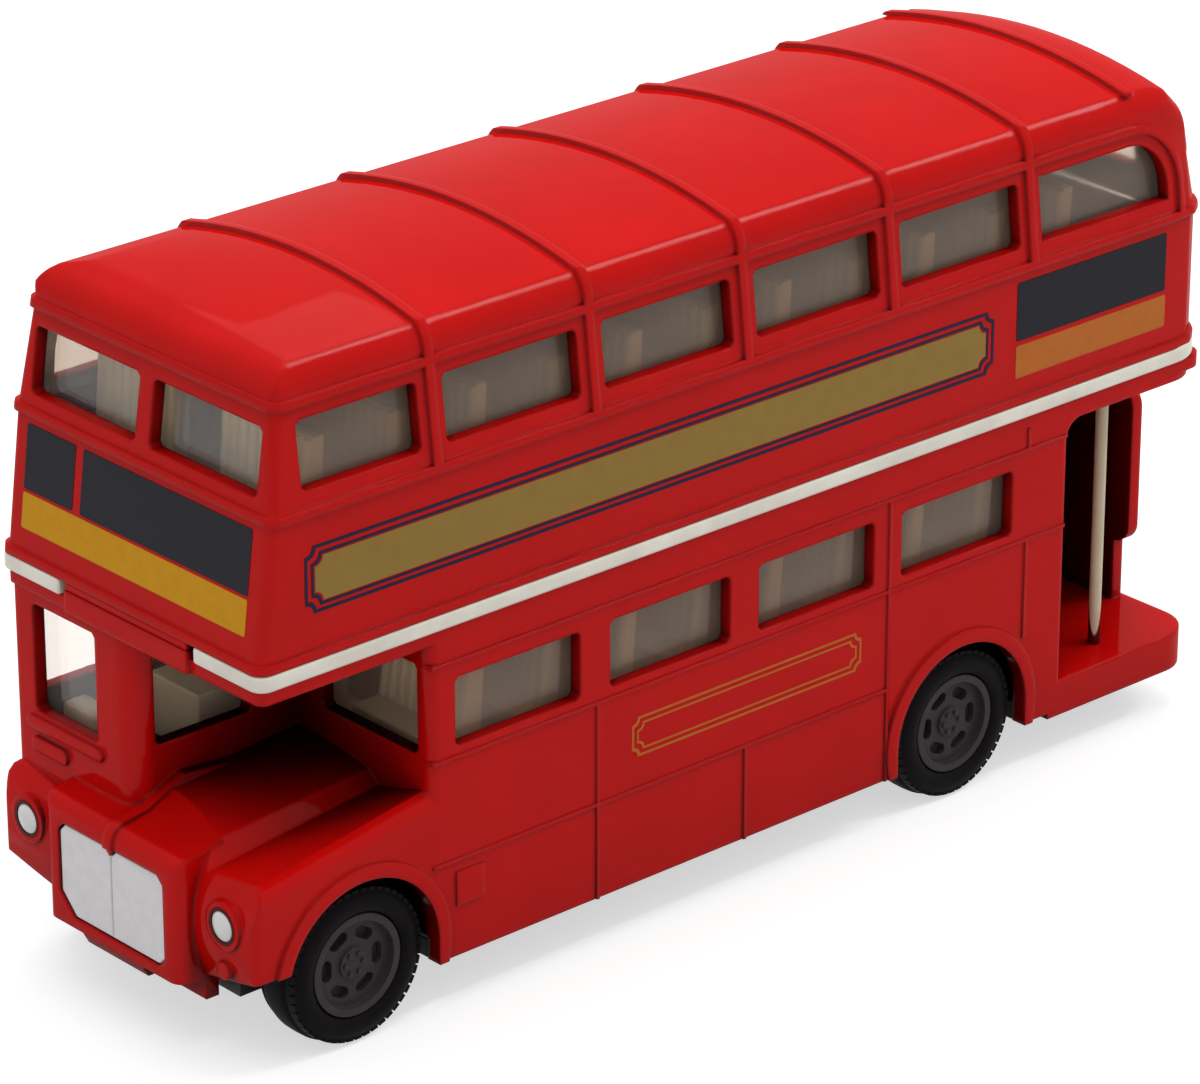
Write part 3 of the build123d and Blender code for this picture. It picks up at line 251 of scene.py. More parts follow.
class BusSizes(bpy.types.PropertyGroup):
    """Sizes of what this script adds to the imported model."""

    edge: size("Edge rounding", 0.24, "How far the edges of mouldings and plates are rounded")
    ink: size("Ink", 0.05, "Thickness of the printed signs")
    tread_count: number(IntProperty, "Tread blocks", 48, "Blocks round one tyre's shoulder", min=12)
    tread_gap: number(
        FloatProperty, "Tread gap", 0.22, "Share of the pitch left open", min=0.1, max=0.6
    )
    nut_count: number(IntProperty, "Wheel nuts", 6, "Nuts round one hub's boss", min=3)
    pleat_count: number(IntProperty, "Pleats", 9, "Pleats across one double seat's back", min=3)


class BusCamera(bpy.types.PropertyGroup):
    """Where the photograph was taken from."""

    azimuth: number(FloatProperty, "Azimuth", 138.19, "Turn of the view round the toy, in degrees")
    elevation: number(
        FloatProperty, "Elevation", 23.73, "Height of the view above level, in degrees"
    )
    distance: size("Distance", 528.0, "From the lens to the aim")
    lens: number(FloatProperty, "Lens", 175.7, "Focal length on a 36 mm sensor, in millimetres")


def add_node(tree, kind, feeds=None, **settings):
    """Add one node, set its attributes and inputs by name, and link or set inputs it is fed."""
    node = tree.nodes.new(kind)
    for key, value in settings.items():
        if hasattr(node, key):
            setattr(node, key, value)
        else:
            node.inputs[key.replace("_", " ")].default_value = value
    for key, feed in (feeds or {}).items():
        if isinstance(feed, bpy.types.NodeSocket):
            tree.links.new(feed, node.inputs[key])
        else:
            node.inputs[key].default_value = feed
    return node


def shade(values, share):
    """A darker or lighter tone of a linear colour."""
    return (*[min(1.0, value * share) for value in values], 1.0)


def surface(name, **sockets):
    """Start a material on the Principled shader with these constant sockets set."""
    material = bpy.data.materials.new(name)
    material.use_nodes = True
    shader = material.node_tree.nodes["Principled BSDF"]
    for key, value in sockets.items():
        shader.inputs[key.replace("_", " ")].default_value = value
    return material, material.node_tree, shader


def noise_of(tree, place, grain_mm, detail):
    """Soft noise on the piece's own coordinates, with patches of a given size."""
    return add_node(
        tree,
        "ShaderNodeTexNoise",
        {"Vector": place.outputs["Object"]},
        Scale=1 / (grain_mm * MM),
        Detail=detail,
    )


def mottle(tree, shader, hue, tones, patch_mm, painted_shade_reach_mm=0.0):
    """Let a colour drift between two tones in soft patches, and darken it as painted shade where it
    is shut in.
    """
    place = add_node(tree, "ShaderNodeTexCoord")
    noise = noise_of(tree, place, patch_mm, 3.0)
    ramp = add_node(tree, "ShaderNodeValToRGB", {"Fac": noise.outputs["Fac"]})
    for stop, tone, position in zip(ramp.color_ramp.elements, tones, PATCH_STOPS):
        stop.color = shade(hue, tone)
        stop.position = position
    painted = ramp.outputs["Color"]
    if painted_shade_reach_mm:
        # Painted shade: ambient occlusion darkens the colour in nooks, under overhangs and inside the
        # platform.
        shade_occlusion = add_node(tree, "ShaderNodeAmbientOcclusion", Distance=painted_shade_reach_mm * MM, samples=8)
        depth = add_node(tree, "ShaderNodeValToRGB", {"Fac": shade_occlusion.outputs["AO"]})
        deep, open_air = depth.color_ramp.elements
        deep.color = (PAINTED_SHADE_TONE, PAINTED_SHADE_TONE, PAINTED_SHADE_TONE, 1)
        deep.position, open_air.position = PAINTED_SHADE_STOPS
        painted = add_node(
            tree,
            "ShaderNodeMix",
            {0: 1.0, 6: painted, 7: depth.outputs["Color"]},
            data_type="RGBA",
            blend_type="MULTIPLY",
        ).outputs[2]
    tree.links.new(painted, shader.inputs["Base Color"])
    return place


def ripple(tree, shader, place, grain_mm, depth_mm, edge_mm=0.0):
    """Give a surface a fine unevenness of a given grain and depth, and flow it over its edges.

    A grain under about 0.2 mm is too fine to show at this size, so the finer finishes below are
    drawn as coarse as they need to be.
    """
    noise = noise_of(tree, place, grain_mm, 2.0)
    bump = add_node(
        tree,
        "ShaderNodeBump",
        {"Height": noise.outputs["Fac"]},
        Strength=0.5,
        Distance=depth_mm * MM,
    )
    if edge_mm:
        edges = add_node(tree, "ShaderNodeBevel", Radius=edge_mm * MM, samples=6)
        tree.links.new(edges.outputs["Normal"], bump.inputs["Normal"])
    for skin in ("Normal", "Coat Normal"):
        tree.links.new(bump.outputs["Normal"], shader.inputs[skin])


def finish(name, hue, tones, patch_mm, grain, painted_shade_reach_mm=0.0, edge_mm=0.0, **sockets):
    """A surface whose colour drifts between two tones. Its grain is a width and a depth in mm."""
    material, tree, shader = surface(name, **sockets)
    place = mottle(tree, shader, hue, tones, patch_mm, painted_shade_reach_mm)
    ripple(tree, shader, place, *grain, edge_mm)
    return material


def stoved_enamel(hue):
    """Stoved enamel over zinc: a deep even red whose skin flows over edges and peels slightly,
    darkened as painted shade where it is shut in.
    """
    return finish(
        "stoved_enamel",
        hue,
        tones=(0.95, 1.04),
        patch_mm=9.0,
        grain=(1.1, 0.012),
        # Painted shade: the red darkens where other parts close round it within this reach.
        painted_shade_reach_mm=30.0,
        edge_mm=0.6,
        Roughness=0.3,
        Coat_Weight=0.17,
        Coat_Roughness=0.06,
        Coat_IOR=1.5,
        Specular_IOR_Level=0.0,
    )


def moulded_plastic(name, hue, roughness, patch_mm=4.0, gloss=0.3):
    """Injection-moulded plastic: even colour with flow patches and the fine grain of the tool."""
    return finish(
        name,
        hue,
        tones=(0.9, 1.07),
        patch_mm=patch_mm,
        grain=(0.35, 0.01),
        edge_mm=0.15,
        Roughness=roughness,
        IOR=1.49,
        Specular_IOR_Level=gloss,
    )


def clear_styrene(name, tint, roughness, clarity):
    """Moulded polystyrene glazing, clear or a little cloudy: wavy, with the seats showing."""
    return finish(
        name,
        linear(tint),
        tones=(0.97, 1.0),
        patch_mm=0.5,
        grain=(0.9, 0.01),
        Roughness=roughness,
        IOR=1.3,
        Transmission_Weight=clarity,
    )


def vinyl_rubber(hue):
    """Soft black vinyl: dull, with a little dust in the grain."""
    return finish(
        "vinyl_rubber",
        hue,
        tones=(0.75, 1.3),
        patch_mm=2.2,
        grain=(0.3, 0.02),
        Roughness=0.6,
        IOR=1.5,
        Specular_IOR_Level=0.06,
    )


def silver_ink(hue):
    """Pad-printed aluminium ink: pale, satin, with fine metal flake."""
    return finish(
        "silver_ink",
        hue,
        tones=(0.95, 1.03),
        patch_mm=1.2,
        grain=(0.25, 0.008),
        Roughness=0.45,
        Specular_IOR_Level=0.6,
    )


def bright_steel():
    """Drawn steel wire: grey and smooth, with a faint unevenness from the die."""
    return finish(
        "bright_steel",
        linear("#9A9A9C"),
        tones=(0.9, 1.05),
        patch_mm=1.5,
        grain=(0.2, 0.01),
        Roughness=0.3,
        Metallic=1.0,
    )


def print_or_painted_shade(name, hue):
    """Pad-printing ink on enamel, and painted shade lines laid like it: flat colour, slightly uneven
    where the pad lifted.
    """
    return finish(
        name,
        hue,
        tones=(0.95, 1.04),
        patch_mm=1.6,
        grain=(0.4, 0.008),
        Roughness=0.5,
        Specular_IOR_Level=0.12,
    )


def dipped_enamel(cream, red):
    """Cream enamel dipped over red: one clean slanted edge where it stops above the foot, whose red
    is darkened as painted shade.
    """
    material, tree, shader = surface("dipped_enamel", Roughness=0.35, Specular_IOR_Level=0.2)
    place = mottle(tree, shader, cream, tones=(0.92, 1.02), patch_mm=3.0)
    tone = shader.inputs["Base Color"].links[0].from_socket
    reach = add_node(
        tree,
        "ShaderNodeVectorMath",
        {0: place.outputs["Object"], 1: DIP_SLANT},
        operation="DOT_PRODUCT",
    )
    edge = DIP_EDGE.dot(DIP_SLANT) * MM
    line = add_node(
        tree,
        "ShaderNodeMapRange",
        {"Value": reach.outputs["Value"]},
        From_Min=edge - DIP_BLUR * MM,
        From_Max=edge,
    )
    # The foot's red is darkened to painted shade, as it stands in the platform's shade.
    both = add_node(
        tree,
        "ShaderNodeMix",
        {0: line.outputs[0], 6: shade(red, DIP_FOOT_SHADE_TONE), 7: tone},
        data_type="RGBA",
    )
    tree.links.new(both.outputs[2], shader.inputs["Base Color"])
    ripple(tree, shader, place, grain_mm=0.5, depth_mm=0.01)
    return material


def dress(node, material):
    """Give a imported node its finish."""
    slots = frame["nodes"][node].data.materials
    slots.clear()
    slots.append(material)


def in_scene(name, data):
    """Put an object made from this data in the scene."""
    item = bpy.data.objects.new(name, data)
    bpy.context.scene.collection.objects.link(item)
    return item


def place_piece(name, mesh, body, material, replaces=None):
    """Put a finished mesh in the scene, on its body, standing for a node where it has one."""
    piece = in_scene(name, mesh)
    mesh.materials.clear()
    mesh.materials.append(material)
    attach(piece, body)
    if replaces:
        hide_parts(replaces)
    return piece


def apply_modifiers(piece):
    """Turn a piece with modifiers into one plain mesh."""
    evaluated = piece.evaluated_get(bpy.context.evaluated_depsgraph_get())
    mesh = bpy.data.meshes.new_from_object(evaluated)
    piece.modifiers.clear()
    piece.data = mesh


def closed(name, work):
    """End work on a mesh and keep it under this name."""
    mesh = bpy.data.meshes.new(name)
    work.to_mesh(mesh)
    work.free()
    return mesh


def weld(node):
    """Open a copy of a node's mesh with its triangles welded and its stored shading cleared."""
    mesh = frame["nodes"][node].data.copy()
    for layer in [layer for layer in mesh.attributes if layer.name == "custom_normal"]:
        mesh.attributes.remove(layer)
    work = bmesh.new()
    work.from_mesh(mesh)
    bmesh.ops.remove_doubles(work, verts=work.verts, dist=WELD_GAP * MM)
    for face in work.faces:
        face.smooth = True
    return mesh, work


def welded(name, node, material, sharp_degrees=30):
    """Copy a node as it is, with its round faces shaded smoothly."""
    mesh, work = weld(node)
    work.to_mesh(mesh)
    work.free()
    mesh.set_sharp_from_angle(angle=math.radians(sharp_degrees))
    return place_piece(name, mesh, frame["nodes"][node]["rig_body"], material, node)


def softened(name, node, width, material, sharp_degrees=24):
    """Copy a plain node and round its edges, less where there is little room."""
    mesh, work = weld(node)
    bmesh.ops.dissolve_limit(
        work, angle_limit=math.radians(FLAT_DEGREES), verts=work.verts, edges=work.edges
    )
    weight = work.edges.layers.float.new("bevel_weight_edge")
    for edge in work.edges:
        if edge.calc_face_angle(0) > math.radians(sharp_degrees):
            start = edge.verts[0].co
            along = (edge.verts[1].co - start).normalized()
            room = width / ROUNDED_SHARE
            for face in edge.link_faces:
                across = [(vert.co - start).cross(along).length for vert in face.verts]
                room = min(room, max(across))
            edge[weight] = min(1.0, ROUNDED_SHARE * room / width)
    work.to_mesh(mesh)
    work.free()
    piece = place_piece(name, mesh, frame["nodes"][node]["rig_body"], material)
    bevel = piece.modifiers.new("edges", "BEVEL")
    bevel.width = width
    bevel.segments = 3
    bevel.limit_method = "WEIGHT"
    bevel.use_clamp_overlap = False
    bevel.loop_slide = False
    normals = piece.modifiers.new("normals", "WEIGHTED_NORMAL")
    normals.weight = 90
    apply_modifiers(piece)
    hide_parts(node)


def print_sheet(name, shapes, origin, across, up, thickness, material):
    """Lay flat printed shapes on a wall: each an outline, or a pair of an outer and an inner one.

    The wall is given by an origin in millimetres and two directions along it.
    """
    origin, across, up = Vector(origin) * MM, Vector(across).normalized(), Vector(up).normalized()
    out = across.cross(up)
    work = bmesh.new()

    def laid(outline, lift):
        """Corners of one outline at one height off the wall."""
        return [
            work.verts.new(origin + u * MM * across + v * MM * up + lift * out) for u, v in outline
        ]

    def strip(first, second, turned):
        """Quads between two rings of corners."""
        for i in range(len(first)):
            j = (i + 1) % len(first)
            quad = (first[i], first[j], second[j], second[i])
            work.faces.new(tuple(reversed(quad)) if turned else quad)

    for shape in shapes:
        outlines = shape if isinstance(shape[0][0], (tuple, list)) else (shape,)
        under, over = [[laid(outline, lift) for outline in outlines] for lift in (0.0, thickness)]
        for layer, (low, high) in enumerate(zip(under, over)):
            strip(low, high, turned=layer > 0)
        for rings, turned in ((under, True), (over, False)):
            if len(rings) == 1:
                work.faces.new(list(reversed(rings[0])) if turned else rings[0])
            else:
                strip(*rings, turned)
    place_piece(name, closed(name, work), BODY, material)


def corner_arcs(corners, radius, sweep, steps):
    """Join quarter circles, each given by its centre and the angle at which it starts."""
    points = []
    for u, v, start in corners:
        for step in range(steps + 1):
            turn = math.radians(start + sweep * step / steps)
            points.append((u + radius * math.cos(turn), v + radius * math.sin(turn)))
    return points


def oblong(u0, v0, u1, v1, radius, steps=4):
    """An outline with rounded corners, in millimetres, running anticlockwise."""
    left, right, bottom, top = u0 + radius, u1 - radius, v0 + radius, v1 - radius
    corners = ((right, top, 0), (left, top, 90), (left, bottom, 180), (right, bottom, 270))
    return corner_arcs(corners, radius, 90, steps)


def scooped(u0, v0, u1, v1, scoop, inset=0.0):
    """An outline whose corners are scooped inwards, in millimetres, running anticlockwise."""
    u0, v0, u1, v1 = u0 + inset, v0 + inset, u1 - inset, v1 - inset
    corners = ((u1, v1, 270), (u0, v1, 0), (u0, v0, 90), (u1, v0, 180))
    return corner_arcs(corners, scoop, -90, steps=5)


def spun(name, profile, centre, side, segments=96):
    """Spin a closed outline of (depth from the outer face, radius) about the wheel's axle."""
    work = bmesh.new()
    rings = []
    for step in range(segments):
        turn = 2 * math.pi * step / segments
        ring = []
        for depth, radius in profile:
            x = centre.x + radius * MM * math.cos(turn)
            z = centre.z + radius * MM * math.sin(turn)
            ring.append(work.verts.new((x, centre.y - side * depth * MM, z)))
        rings.append(ring)
    count = len(profile)
    for step in range(segments):
        near, far = rings[step], rings[(step + 1) % segments]
        for i in range(count):
            j = (i + 1) % count
            work.faces.new((near[i], near[j], far[j], far[i])).smooth = True
    bmesh.ops.recalc_face_normals(work, faces=work.faces)
    return closed(name, work)


def block(name, low, high, edge_mm, material, slot):
    """A small filled block with rounded edges, between two corners in millimetres."""
    work = bmesh.new()
    bmesh.ops.create_cube(work, size=1.0)
    for vert in work.verts:
        vert.co = [(a + b + 2 * c * (b - a)) / 2 * MM for a, b, c in zip(low, high, vert.co)]
    bmesh.ops.bevel(
        work,
        geom=work.edges[:],
        offset=edge_mm * MM,
        segments=4,
        profile=0.5,
        affect="EDGES",
        clamp_overlap=True,
    )
    for face in work.faces:
        face.smooth = True
    place_piece(name, closed(name, work), BODY, material)


def lens(name, node, material):
    """A domed lens in place of a lamp's flat disc."""
    low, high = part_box(node)
    middle = (low + high) / 2
    radius = LENS_SHARE * (high.y - low.y) / 2
    steps = [(low.x, 1.0)]
    for k in range(LENS_STEPS, 0, -1):
        turn = math.pi * k / (2 * LENS_STEPS)
        steps.append((high.x - LENS_DOME * MM * (1 - math.cos(turn)), math.sin(turn)))
    work = bmesh.new()
    rings = []
    for x, share in steps:
        ring = []
        for side in range(LENS_SIDES):
            turn = 2 * math.pi * side / LENS_SIDES
            y = middle.y + share * radius * math.cos(turn)
            z = middle.z + share * radius * math.sin(turn)
            ring.append(work.verts.new((x, y, z)))
        rings.append(ring)
    for inner, outer in zip(rings, rings[1:]):
        for i in range(LENS_SIDES):
            j = (i + 1) % LENS_SIDES
            work.faces.new((inner[i], inner[j], outer[j], outer[i])).smooth = True
    work.faces.new(list(reversed(rings[0])))
    work.faces.new(rings[-1])
    bmesh.ops.recalc_face_normals(work, faces=work.faces)
    mesh = closed(name, work)
    mesh.set_sharp_from_angle(angle=math.radians(LENS_CREASE))
    place_piece(name, mesh, BODY, material, node)


def new_tree(name, inputs):
    """Start a Geometry Nodes tree with named inputs and one geometry output."""
    tree = bpy.data.node_groups.new(name, "GeometryNodeTree")
    for label, kind in inputs:
        tree.interface.new_socket(name=label, in_out="INPUT", socket_type=f"NodeSocket{kind}")
    tree.interface.new_socket(
        name="Geometry", in_out="OUTPUT", socket_type="NodeSocketGeometry"
    )
    return tree, tree.nodes.new("NodeGroupInput").outputs


def close_tree(tree, instances, material):
    """End a tree in real faces with one finish."""
    real = add_node(tree, "GeometryNodeRealizeInstances", {"Geometry": instances})
    dressed = add_node(
        tree,
        "GeometryNodeSetMaterial",
        {"Geometry": real.outputs["Geometry"], "Material": material},
    )
    add_node(tree, "NodeGroupOutput", {"Geometry": dressed.outputs["Geometry"]})


def grow(name, tree, values, body):
    """Run a tree with these sizes and keep its result as one plain mesh on a body."""
    piece = in_scene(name, bpy.data.meshes.new(name))
    modifier = piece.modifiers.new("grow", "NODES")
    modifier.node_group = tree
    for item in tree.interface.items_tree:
        if item.in_out == "INPUT":
            modifier[item.identifier] = values[item.name]
    apply_modifiers(piece)
    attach(piece, body)


def wheel_ring_tree():
    """A ring of blocks round both wheels of one axle."""
    tree, inputs = new_tree(
        "wheel_ring",
        (
            ("Count", "Int"),
            ("Radius", "Float"),
            ("Block", "Vector"),
            ("Sides", "Int"),
            ("Axle", "Vector"),
            ("Outset", "Float"),
            ("Material", "Material"),
        ),
    )
    ring = add_node(
        tree,
        "GeometryNodeMeshCircle",
        {"Vertices": inputs["Count"], "Radius": inputs["Radius"]},
        fill_type="NONE",
    )
    here = add_node(tree, "GeometryNodeInputPosition")
    aim = add_node(
        tree,
        "FunctionNodeAlignRotationToVector",
        {"Vector": here.outputs["Position"]},
        axis="X",
    )
    post = add_node(
        tree,
        "GeometryNodeMeshCylinder",
        {"Vertices": inputs["Sides"]},
        fill_type="NGON",
        Radius=0.5,
        Depth=1.0,
    )
    half_side = add_node(
        tree, "ShaderNodeMath", {0: math.pi, 1: inputs["Sides"]}, operation="DIVIDE"
    )
    square_on = add_node(tree, "ShaderNodeCombineXYZ", {"Z": half_side.outputs[0]})
    stud = add_node(
        tree,
        "GeometryNodeTransform",
        {"Geometry": post.outputs["Mesh"], "Rotation": square_on.outputs[0]},
    )
    scattered = add_node(
        tree,
        "GeometryNodeInstanceOnPoints",
        {
            "Points": ring.outputs["Mesh"],
            "Instance": stud.outputs["Geometry"],
            "Rotation": aim.outputs["Rotation"],
            "Scale": inputs["Block"],
        },
    )
    pair = add_node(tree, "GeometryNodeJoinGeometry")
    for _, side in SIDES:
        outset = add_node(
            tree, "ShaderNodeMath", {0: inputs["Outset"], 1: side}, operation="MULTIPLY"
        )
        shift = add_node(tree, "ShaderNodeCombineXYZ", {"Y": outset.outputs[0]})
        spot = add_node(
            tree, "ShaderNodeVectorMath", {0: inputs["Axle"], 1: shift.outputs[0]}, operation="ADD"
        )
        turned = add_node(
            tree,
            "GeometryNodeTransform",
            {"Geometry": scattered.outputs["Instances"], "Translation": spot.outputs[0]},
            Rotation=(math.pi / 2, 0, 0),
        )
        tree.links.new(turned.outputs["Geometry"], pair.inputs["Geometry"])
    close_tree(tree, pair.outputs["Geometry"], inputs["Material"])
    return tree


def pleat_tree():
    """Pleated seat backs: a round-topped pleat repeated across a back, backs down the deck."""
    tree, inputs = new_tree(
        "seat_pleats",
        (
            ("Pleats", "Int"),
            ("Pleat pitch", "Vector"),
            ("Rows", "Int"),
            ("Row pitch", "Vector"),
            ("Foot", "Vector"),
            ("Rise", "Vector"),
            ("Thickness", "Float"),
            ("Material", "Material"),
        ),
    )
    stem = add_node(tree, "GeometryNodeCurvePrimitiveLine", {"End": inputs["Rise"]})
    fine = add_node(tree, "GeometryNodeResampleCurve", {"Curve": stem.outputs["Curve"]}, Count=14)
    along = add_node(tree, "GeometryNodeSplineParameter")
    # The high power keeps a pleat full almost to its top and then closes it in a dome.
    rise = add_node(
        tree, "ShaderNodeMath", {0: along.outputs["Factor"], 1: 22.0}, operation="POWER"
    )
    left = add_node(tree, "ShaderNodeMath", {0: 1.001, 1: rise.outputs[0]}, operation="SUBTRACT")
    swell = add_node(tree, "ShaderNodeMath", {0: left.outputs[0]}, operation="SQRT")
    shaped = add_node(
        tree,
        "GeometryNodeSetCurveRadius",
        {"Curve": fine.outputs["Curve"], "Radius": swell.outputs[0]},
    )
    ring = add_node(
        tree, "GeometryNodeCurvePrimitiveCircle", {"Radius": inputs["Thickness"]}, Resolution=10
    )
    pleat = add_node(
        tree,
        "GeometryNodeCurveToMesh",
        {"Curve": shaped.outputs["Curve"], "Profile Curve": ring.outputs["Curve"]},
        Fill_Caps=True,
    )
    row_line = add_node(
        tree, "GeometryNodeMeshLine", {"Count": inputs["Pleats"], "Offset": inputs["Pleat pitch"]}
    )
    back = add_node(
        tree,
        "GeometryNodeInstanceOnPoints",
        {"Points": row_line.outputs["Mesh"], "Instance": pleat.outputs["Mesh"]},
    )
    deck_line = add_node(
        tree,
        "GeometryNodeMeshLine",
        {"Count": inputs["Rows"], "Start Location": inputs["Foot"], "Offset": inputs["Row pitch"]},
    )
    deck = add_node(
        tree,
        "GeometryNodeInstanceOnPoints",
        {"Points": deck_line.outputs["Mesh"], "Instance": back.outputs["Instances"]},
    )
    close_tree(tree, deck.outputs["Instances"], inputs["Material"])
    return tree


class BUS_OT_castings(bpy.types.Operator):
    """Upper and lower castings in gloss enamel, and the cream band between them"""

    bl_idname = "bus.castings"
    bl_label = "Castings"

    def execute(self, context):
        hues, sizes = context.scene.bus_colours, context.scene.bus_sizes
        enamel = stoved_enamel(hues.enamel)
        for deck in ("upper", "lower"):
            welded(f"{deck}_casting", f"{deck}_shell", enamel, CASTING_CREASE)
        cream = moulded_plastic("cream_styrene", hues.cream, roughness=0.35)
        softened("cream_band", "waist_band", BAND_ROUNDING * sizes.edge, cream)
        block("front_sill", *FRONT_SILL, enamel, "body_red")
        return {"FINISHED"}


class BUS_OT_glazing(bpy.types.Operator):
    """Clear liners behind the windows, slightly cloudy along the sides"""

    bl_idname = "bus.glazing"
    bl_label = "Glazing"

    def execute(self, context):
        clear = clear_styrene("clear_styrene", "#FFFBF8", roughness=0.04, clarity=0.96)
        cloudy = clear_styrene("cloudy_styrene", "#D6C4B2", roughness=0.14, clarity=0.86)
        dress("cab_glazing", clear)
        for deck in ("upper", "lower"):
            mesh = welded(f"{deck}_windows", f"{deck}_glazing", clear).data
            mesh.materials.append(cloudy)
            for face in mesh.polygons:
                face.material_index = int(abs(face.normal.x) < SIDE_PANE)
        return {"FINISHED"}


class BUS_OT_seats(bpy.types.Operator):
    """Seat mouldings with pleated backs"""

    bl_idname = "bus.seats"
    bl_label = "Seats"

    def execute(self, context):
        hues, sizes = context.scene.bus_colours, context.scene.bus_sizes
        beige = moulded_plastic("beige_styrene", hues.seat, roughness=0.45, patch_mm=6.0)
        for node in ("upper_seats", "lower_seats", "cab_seat"):
            softened(f"{node}_moulding", node, sizes.edge, beige)
        block("cab_ledge", *CAB_LEDGE, beige, "seat_beige")
        tree = pleat_tree()
        across = PLEAT_SPAN / (sizes.pleat_count - 1)
        for deck, front_row, rows, foot, rise in SEAT_DECKS:
            for name, side in SIDES:
                values = {
                    "Pleats": sizes.pleat_count,
                    "Pleat pitch": Vector((0, side * across, 0)) * MM,
                    "Rows": rows,
                    "Row pitch": Vector((-SEAT_PITCH, 0, 0)) * MM,
                    "Foot": Vector((front_row + PLEAT_FOOT, side * PLEAT_START, foot)) * MM,
                    "Rise": Vector((-PLEAT_LEAN, 0, rise)) * MM,
                    "Thickness": PLEAT_RADIUS * MM,
                    "Material": beige,
                }
                grow(f"{deck}_pleats_{name}", tree, values, BODY)
        return {"FINISHED"}


class BUS_OT_front_fittings(bpy.types.Operator):
    """Radiator grille, headlamps and grab pole"""

    bl_idname = "bus.front_fittings"
    bl_label = "Grille, lamps and pole"

    def execute(self, context):
        hues, sizes = context.scene.bus_colours, context.scene.bus_sizes
        silver = silver_ink(hues.silver)
        softened("grille_plate", "radiator_grille", sizes.edge, silver)
        flat = {"across": (0, 1, 0), "up": (0, 0, 1), "thickness": SHADE_LINE_THICKNESS * MM}
        # Painted shade along the grille's fold, laid like ink on the silver.
        fold = print_or_painted_shade("fold_shade", [FOLD_SHADE_TONE * value for value in hues.silver])
        fold_line = oblong(*GRILLE_FOLD, radius=0.05)
        print_sheet("grille_fold", [fold_line], (GRILLE_FACE, 0, 0), material=fold, **flat)
        lamp = moulded_plastic("white_styrene", hues.silver, roughness=0.12, gloss=0.6)
        # A painted shadow: a dark line round each lamp's lens, laid like ink on the enamel.
        shadow = print_or_painted_shade("lamp_ring_painted_shadow", [RING_SHADOW_TONE * value for value in hues.enamel])
        for name, _ in SIDES:
            lens(f"lamp_lens_{name}", f"headlamp_{name}", lamp)
            low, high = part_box(f"headlamp_{name}")
            y, z = (low.y + high.y) / 2 / MM, (low.z + high.z) / 2 / MM
            rings = [oblong(y - r, z - r, y + r, z + r, r, steps=10) for r in LAMP_RINGS]
            print_sheet(
                f"lamp_ring_{name}", [rings], (LAMP_FACE, 0, 0), material=shadow, **flat
            )
        welded("pole", "platform_pole", dipped_enamel(hues.pole, hues.enamel))
        return {"FINISHED"}


class BUS_OT_signs(bpy.types.Operator):
    """Blank blinds and panels printed on the near side and the front"""

    bl_idname = "bus.signs"
    bl_label = "Signs"

    def execute(self, context):
        hues, sizes = context.scene.bus_colours, context.scene.bus_sizes
        ink_hues = {
            "black": hues.blind,
            "yellow": hues.yellow,
            "orange": hues.orange,
            "gold": hues.gold,
            "navy": hues.navy,
        }
        inks = {name: print_or_painted_shade(f"{name}_ink", hue) for name, hue in ink_hues.items()}
        walls = {
            "kerb": {"origin": KERB_WALL, "across": (-1, 0, 0), "up": (0, 0, 1)},
            "front": {"origin": FRONT_WALL, "across": (0, 1, 0), "up": FRONT_RISE},
        }

        def stamp(name, ink, wall, shapes):
            """Print shapes on one wall in one ink."""
            print_sheet(name, shapes, material=inks[ink], thickness=sizes.ink, **walls[wall])

        for name, ink, wall, outlines in SIGNS:
            stamp(name, ink, wall, [oblong(*outline, SIGN_CORNER) for outline in outlines])
        stamp("gold_panel", "gold", "kerb", [scooped(*GOLD_PANEL, GOLD_SCOOP)])
        for name, ink, scoop, lines in PANEL_LINES:
            pairs = [
                (scooped(*outline, scoop), scooped(*outline, scoop, width))
                for outline, width in lines
            ]
            stamp(name, ink, "kerb", pairs)
        return {"FINISHED"}


